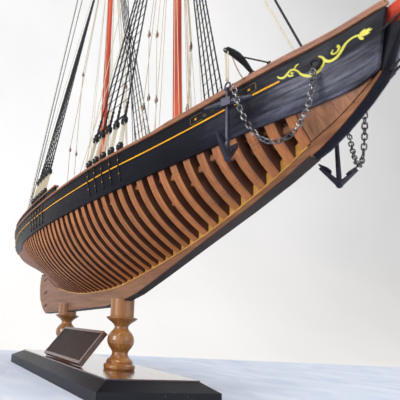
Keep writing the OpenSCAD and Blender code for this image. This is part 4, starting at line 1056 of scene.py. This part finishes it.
# stays: black standing lines
AHEAD = Vector((TOP_GAP, 0, 0))
SPRIT_STEEVE, SPRIT_OUT, SPRIT_R = math.radians(11), 74, 3.6
SPRIT_V = Vector((math.cos(SPRIT_STEEVE), 0, math.sin(SPRIT_STEEVE)))


def sprit_pt(s):
    return Vector((STEM_X, 0, 172.4)) + s * SPRIT_V


stays = Batch()


def stay(a, b, r, sag=0.0, batch=stays):
    a, b = Vector(a), Vector(b)
    pts = [a.lerp(b, t) - Vector((0, 0, sag * 4 * t * (1 - t))) for t in span(0, 1, 10 if sag else 2)]
    batch.tube(pts, r, 9)


FORE_HOUND = fore_pt(FORE_CAP - DOUBLING)
stay((254, 0, sprit_pt(254 - STEM_X).z + SPRIT_R + 0.8), FORE_HOUND + Vector((13.2, 0, 2.4)), 0.6)
stay(sprit_pt(20) + Vector((0, 0, SPRIT_R + 0.9)), FORE_HOUND + Vector((9.9, 0, 26)), 0.45)
stay(sprit_pt(SPRIT_OUT - 2) + Vector((0, 0, 3.1)),
     fore_pt(FORE_TRUCK - 14) + AHEAD + Vector((1.7, 0, 0)), 0.4)
stay(fore_pt(FORE_CAP) + Vector((-6, 0, 0.5)), main_pt(MAIN_CAP - 12) + Vector((10.4, 0, 0)), 0.4)
for y in (-1.3, 1.3):
    stay((290.4, y, 148.9), sprit_pt(SPRIT_OUT - 8) + Vector((0, y, -3.4)), 0.5)
for s in (-1, 1):
    stay((292.6, s * 7.4, 163), sprit_pt(SPRIT_OUT - 9) + Vector((0, s * 3.4, 0)), 0.4)
    for x, drop in ((-52, 24), (-44, 90)):
        stay(main_pt(MAIN_TRUCK - drop) + AHEAD + Vector((0, s * 1.7, 0)),
             (x, s * (rail_y(x) + 1), rail_z(x) + MONKEY_RISE + 0.6), 0.4)
build("standing_stays", stays, BLACK_CORD, nodes=("stays",))

# ---------------- running lines and blocks
cream, tan, blocks, block_straps = Batch(), Batch(), Batch(), Batch()


def block_at(p, size):
    """A small two-cheek pulley block hanging in its strop."""
    blocks.ball(p, 1.55 * size, 12, (0.78, 0.55, 1.25), tone=random.uniform(-0.1, 0.08))
    blocks.ball(p + Vector((0, 0.75 * size, 0)), 1.3 * size, 10, (0.7, 0.25, 1.1))
    block_straps.ring_link(p, (0, 0, 1), (0, 1, 0), 0.7 * size, 1.25 * size, 0.24 * size)
    block_straps.tube([p + Vector((0, 0, 1.9 * size)), p + Vector((0, 0, 3.4 * size))], 0.42 * size, 8)


def fall(a, b, r=0.26):
    stay(a, b, r, batch=cream)


# falls belayed beside each mast, clear of the swing of boom and gaff
for cx, rake, z_top, aft in ((FORE_X, FORE_RAKE, 404, -13), (MAIN_X, MAIN_RAKE, 445, -14)):
    top = mast_pt(cx, rake, z_top)
    feet = ((aft, -13.6), (aft + 4, -11.4), (aft, 13.6), (aft + 4, 11.4),
            (7.5, -7), (7.5, 7), (9.5, -3), (9.5, 4))
    for k, (dx, y) in enumerate(feet):
        head = top + Vector((math.copysign(3.6, dx), math.copysign(3.6, y), -5 * k))
        fall((cx + dx, y, deck_z(cx + dx) + 3), head)
# tackles to starboard and port: x, then (y, z) of each block; two parts run from the deck to the masthead
TACKLES = ((118, ((16.9, 212), (19.1, 266))), (124, ((13.6, 208.4), (15.3, 263.2))), (118, ((21, 203),)),
           (-22, ((25.4, 211), (25.8, 301.5))), (-22, ((32.2, 214),)))
for x, hung in TACKLES:
    for s in (-1, 1):
        path = [Vector((x + 2, s * (hung[0][0] - 0.5), deck_z(x) + 4))]
        path += [Vector((x, s * y, z)) for y, z in hung]
        path.append((fore_pt(448) if x > 0 else main_pt(492)) + Vector((-4, s * 3, 0)))
        beside = Vector((0.9, 0.5 * s, 0))
        for a, b in zip(path, path[1:]):
            fall(a, b, 0.27)
            fall(a + beside, b + beside, 0.22)
        for p in path[1:-1]:
            block_at(p, 1.15)
# lines beside the fore stay and to the bowsprit
for dy, dx in ((-1.6, -3.0), (1.4, -4.4)):
    fall((257 + dx, dy, deck_z(257) + 5), fore_pt(FORE_CAP - DOUBLING - 3) + Vector((4.5, dy * 0.5, 0)))
for y in (-2.0, 2.0):
    fall(sprit_pt(SPRIT_OUT - 20) + Vector((0, y, 2.6)), (236, y * 3, rail_z(236) + 3.5))
# light backstays and flag lines: x at the rail, inset, height above the rail, and the head
for s in (-1, 1):
    for x, inset, up, head in ((-66, -0.4, 8.6, main_pt(MAIN_TRUCK - 30) + Vector((2, s * 1.8, 0))),
                               (-60, -0.4, 8.6, main_pt(MAIN_CAP - 20) + Vector((2, s * 1.8, 0))),
                               (84, 0.4, 2.2, fore_pt(FORE_CAP - 60) + Vector((0, s * 2.4, 0))),
                               (92, 0.4, 2.2, fore_pt(FORE_TRUCK - 60) + AHEAD + Vector((0, s * 1.4, 0)))):
        fall((x, s * (rail_y(x) - inset), rail_z(x) + up), head)

# gear at the catheads
CAT_X, BRACE_X, TAN_X = 237, 247, 234.6
CAT_ROOT = Vector((CAT_X, rail_y(CAT_X) + 0.2, rail_z(CAT_X) + 4.75))
CAT_END = Vector((CAT_X - 1.6, rail_y(CAT_X) + 14.2, rail_z(CAT_X) + 14.2))
RING = Vector((CAT_X - 2.2, rail_y(CAT_X) + 13.2, rail_z(CAT_X) - 4.3))
cats = Batch()
cv = CAT_END - CAT_ROOT
bend = [CAT_ROOT + cv * t + Vector((0, 0, 2.0 * math.sin(math.pi * t))) for t in span(0, 1, 14)]
cats.tube(bend[:9], 0.9, 12, 1.9)
cats.tube(bend[8:], 1.9, 12, 1.5)
cats.spin(CAT_ROOT - Vector((0, 0, 1.3)), (0, 0, 1), [(1.9, 0), (2.0, 0.5), (1.5, 1.2), (1.1, 2.2)], 20)
cats.ring_link(CAT_END + Vector((0, 0.4, -0.6)), (0, 1, 0), (1, 0, 0), 0, 1.1, 0.34)
brace = Vector((BRACE_X, rail_y(BRACE_X) + 1.7, rail_z(BRACE_X) + 3.9))
cats.tube([brace, CAT_ROOT + cv * 0.52 + Vector((0.5, 0, 2.2))], 0.38, 9)
cats.ball(CAT_ROOT + cv * 0.52 + Vector((0.5, 0, 2.2)), 0.9, 8)
cats.spin(brace - Vector((0, 0, 0.7)), (0, 0, 1), [(1.2, 0), (1.25, 0.35), (0.8, 0.8), (0.5, 1.5)], 18)
build("catheads_forged", cats.mirror(), BLACK_FIT, nodes=("catheads",))
for s in (-1, 1):
    e, r = Vector((CAT_END.x, s * CAT_END.y, CAT_END.z)), Vector((RING.x, s * RING.y, RING.z))
    for dx in (-1.0, -0.4, 1.1):
        fall(e + Vector((dx, 0, -1.6)), r + Vector((dx * 0.8, 0, 1.6)), 0.27)
    lines.ball(r + Vector((0, 0, 2.8)), 0.8, 8)
    hang_at = Vector((CAT_ROOT.x, s * CAT_ROOT.y, CAT_ROOT.z)).lerp(e, 0.78)
    belay = (TAN_X, s * (rail_y(TAN_X) + 2.9), rail_z(TAN_X) + 2.2)
    stay(hang_at - Vector((0, 0, 1.2)), belay, 0.26, 1.2, tan)
build("lanyards_laid", lines.mirror(), CREAM_CORD, nodes=("lanyards",))
build("running_lines", cream, CREAM_CORD)
build("anchor_lines", tan, TAN_CORD)
build("pulley_blocks", blocks, BLOCK_WOOD)
build("block_strops", block_straps, BLACK_CORD)

# ---------------- anchors
SHANK, STOCK_DROP, ARM_YAW = 36, 9.4, 115
STOCK_HALF, ARM_HALF, ARM_RISE = 12, 9.3, 8.8


def anchor(side):
    """Kedge with a heavy stock; hangs from its ring at the hinge, arms across and stock square to them."""
    b = Batch()
    c = Vector((RING.x, side * RING.y, RING.z))
    yaw = math.radians(-ARM_YAW * side)
    arm = Vector((math.cos(yaw), math.sin(yaw), 0))
    stk = Vector((-math.sin(yaw), math.cos(yaw), 0))
    up = Vector((0, 0, 1))
    crown = c - up * (SHANK + 1)
    turn = Matrix((arm, stk, up)).transposed()
    b.ring_link(c - up * 0.9, (0, 0, 1), (0, 1, 0), 0, 2.0, 0.42)
    b.tube([c - up * 2.4 - arm * 1.6, c - up * 2.4 + arm * 1.6], 0.55, 10)
    rings = []
    for t in span(0, 1, 10):
        w, h = 0.85 + 0.35 * t, 0.75 + 0.25 * t
        p = c - up * (1.6 + (SHANK - 1.0) * t)
        rings.append([p + arm * w * sx * kx + stk * h * sy * ky for sx, sy, kx, ky in
                      ((1, 1, 1, .45), (1, 1, .45, 1), (-1, 1, .45, 1), (-1, 1, 1, .45),
                       (-1, -1, 1, .45), (-1, -1, .45, 1), (1, -1, .45, 1), (1, -1, 1, .45))])
    b.rings(rings)
    # the stock: a thick eight-sided spindle
    s0 = c - up * STOCK_DROP
    b.block(s0, (4.2, 4.6, 4.0), turn)
    for s in (-1, 1):
        rings = []
        for t in span(0, 1, 8):
            w = 1.75 - 1.05 * t ** 1.4
            p = s0 + stk * s * (0.5 + (STOCK_HALF - 0.5) * t)
            rings.append([p + arm * w * u + up * w * v for u, v in circle(8, 0.39)])
        b.rings(rings)
        # straight arm with a flat upper face, ending in a pointed palm
        tip = crown + arm * s * ARM_HALF + up * ARM_RISE
        d = (tip - crown).normalized()
        n = (up - up.dot(d) * d).normalized()
        rings = []
        for t in span(0, 1, 6):
            w, h = 1.5 - 0.6 * t, 1.35 - 0.6 * t
            p = crown.lerp(tip, t)
            rings.append([p + n * w * u + stk * h * v for u, v in
                          ((0.6, 1), (1, 0.6), (1, -0.6), (0.6, -1), (-0.8, -0.6), (-1, 0), (-0.8, 0.6))])
        b.rings(rings)
        base = crown.lerp(tip, 0.52) + n * 1.0
        point = tip + d * 1.7 + n * 0.3
        palm = [base, base + d * 1.2 + stk * 2.0, base + d * 3.8 + stk * 1.7,
                point, base + d * 3.8 - stk * 1.7, base + d * 1.2 - stk * 2.0]
        b.rings([[p + n * 0.2 for p in palm], [p + n * 1.0 for p in palm]])
    b.ball(crown - up * 0.2, 1.7, 10, (1, 1, 0.9))
    return b


for side, word in ((1, "port"), (-1, "starboard")):
    build(word + "_anchor_forged", anchor(side), ANCHOR_MAT,
          body=word + "_anchor_body", nodes=(word + "_anchor",), bevel=0.12)

# ---------------- chain cables
HAWSE_X, LINK_PITCH = 266.6, 2.3
HAWSE = Vector((HAWSE_X, rail_y(HAWSE_X) + 3, rail_z(HAWSE_X) - 8.6))
CABLE = (HAWSE + Vector((0.3, 1.2, -3.4)), HAWSE + Vector((-1, 1.5, -37)), RING + Vector((13, -3, -52)),
         RING + Vector((5.5, 1.6, -0.9)))
chain = Batch()
fine = [Vector(bez(CABLE, t)) for t in span(0, 1, 900)]
picked, run = [fine[0]], 0.0
for a, b in zip(fine, fine[1:]):
    run += (b - a).length
    if run >= LINK_PITCH:
        picked.append(b)
        run = 0.0
for i, (a, b) in enumerate(zip(picked, picked[1:])):
    d = (b - a).normalized()
    base = d.orthogonal().normalized()
    turn = Matrix.Rotation(math.radians(90 * (i % 2) + random.uniform(-16, 16)), 3, d)
    chain.ring_link((a + b) / 2, d, turn @ base, 0.55, 1.02, 0.33, 20, 8, tone=random.uniform(-0.15, 0.12))
build("anchor_cables", chain.mirror(), CHAIN_MAT, nodes=("anchor_chains",))
hawse = Batch()
out = Vector((0.387, 0.912, -0.139))
hawse.ring_link(HAWSE - Vector((0, 0.35, 0)), (0, 0, 1), out, 0, 2.0, 0.62, 26, 10)
hawse.spin(HAWSE - out * 0.9, out, [(0.1, 0), (1.5, 0), (1.55, 0.35), (0.1, 0.36)], 22)
build("hawse_pipes", hawse.mirror(), BLACK_FIT)

# ---------------- floor, backdrop, light and camera
CAM_AT = Vector((392.20, -155.53, 48.17)) * MM
CAM_RIGHT = Vector((0.38963141, 0.91838661, 0.06894489))
CAM_UP = Vector((0.21436685, -0.16324177, 0.96301556))
CAM_LOOK = Vector((-0.89567528, 0.36044162, 0.26047577))


def backdrop():
    """Floor of pale blue cloth that falls away beyond the board, a wide curve, and an off-white wall."""
    m = Mat("backdrop")
    cloud = m.noise((1.3, 1.3, 1.3), 3, 0.5)
    fine = m.noise((160, 160, 160), 3, 0.6)
    weave = m.noise((14, 26, 14), 5, 0.6, 0.8)
    wall = m.ramp(cloud, [(0.3, rgb(228, 226, 223)), (0.7, rgb(236, 233, 230))])
    cloth = m.ramp(weave, [(0.3, rgb(200, 211, 229)), (0.7, rgb(226, 232, 243))])
    behind = m.fade(m.mul(m.split()[0], -0.5), 0.57, 0.6)
    mat = m.done(m.mix(behind, cloth, wall), 0.9, m.bump(m.add(fine, m.mul(weave, 3.0)), 0.05), spec=0.1)
    m.link(wall, m.b.inputs["Emission Color"])
    m.link(m.mul(behind, 0.22), m.b.inputs["Emission Strength"])
    back, drop, r = -1.1, -0.09, 0.9
    pts = [(3.2, 0.0), (-0.27, 0.0), (-0.4, -0.008), (-0.6, -0.028), (-0.85, -0.06), (back, drop)]
    pts += [(back - r * math.sin(a), drop + r - r * math.cos(a)) for a in span(0.08, math.pi / 2, 14)]
    pts.append((back - r, 4.2))
    me = bpy.data.meshes.new("backdrop")
    verts = [(x, y, z) for x, z in pts for y in (-4.5, 4.5)]
    me.from_pydata(verts, [], [(2 * i, 2 * i + 1, 2 * i + 3, 2 * i + 2) for i in range(len(pts) - 1)])
    me.shade_smooth()
    me.materials.append(mat)
    obj = bpy.data.objects.new("backdrop", me)
    bpy.context.scene.collection.objects.link(obj)
    obj.location.z = -0.0002
    return obj


def area(name, at, to, size, power, colour):
    light = bpy.data.lights.new(name, "AREA")
    light.shape = "RECTANGLE"
    light.size, light.size_y = size
    light.energy = power
    light.color = colour
    obj = bpy.data.objects.new(name, light)
    bpy.context.scene.collection.objects.link(obj)
    obj.location = at
    obj.rotation_euler = (Vector(to) - Vector(at)).to_track_quat("-Z", "Y").to_euler()
    return obj


backdrop()
area("key", (1.3, -0.9, 1.7), (0.05, 0, 0.15), (1.2, 1.2), 24, (1.0, 0.98, 0.95))
area("bow_glow", (0.30, -1.75, 0.62), (0.27, 0, 0.15), (0.55, 0.75), 22, (0.94, 0.96, 1.0))
area("fill", (1.6, 0.9, 0.5), (0.1, 0, 0.12), (1.2, 1.0), 6, (0.93, 0.96, 1.0))
area("wall_wash", (0.2, 1.2, 2.6), (-1.9, 0, 0.7), (2.4, 1.0), 20, (1.0, 1.0, 1.0))

scene = bpy.context.scene
world = bpy.data.worlds.new("studio")
world.use_nodes = True
world.node_tree.nodes["Background"].inputs[0].default_value = (0.93, 0.94, 0.96, 1)
world.node_tree.nodes["Background"].inputs[1].default_value = 0.5
scene.world = world
scene.view_settings.view_transform = "Standard"
scene.view_settings.look = "None"

cam = bpy.data.cameras.new("photo_view")
cam.sensor_width = 36
# the photo's lens, and how far the middle of the frame lies to the right of its axis, in frame widths
cam.lens = 40.6215
cam.shift_x = 0.2347875
cam.shift_y = 0.000045
cam.clip_start = 0.01
cam.dof.use_dof = True
cam.dof.focus_distance = 0.32
cam.dof.aperture_fstop = 32
cam_obj = bpy.data.objects.new("photo_view", cam)
scene.collection.objects.link(cam_obj)
turn = Matrix((CAM_RIGHT, CAM_UP, -CAM_LOOK)).transposed().to_4x4()
cam_obj.matrix_world = Matrix.Translation(CAM_AT) @ turn
scene.camera = cam_obj
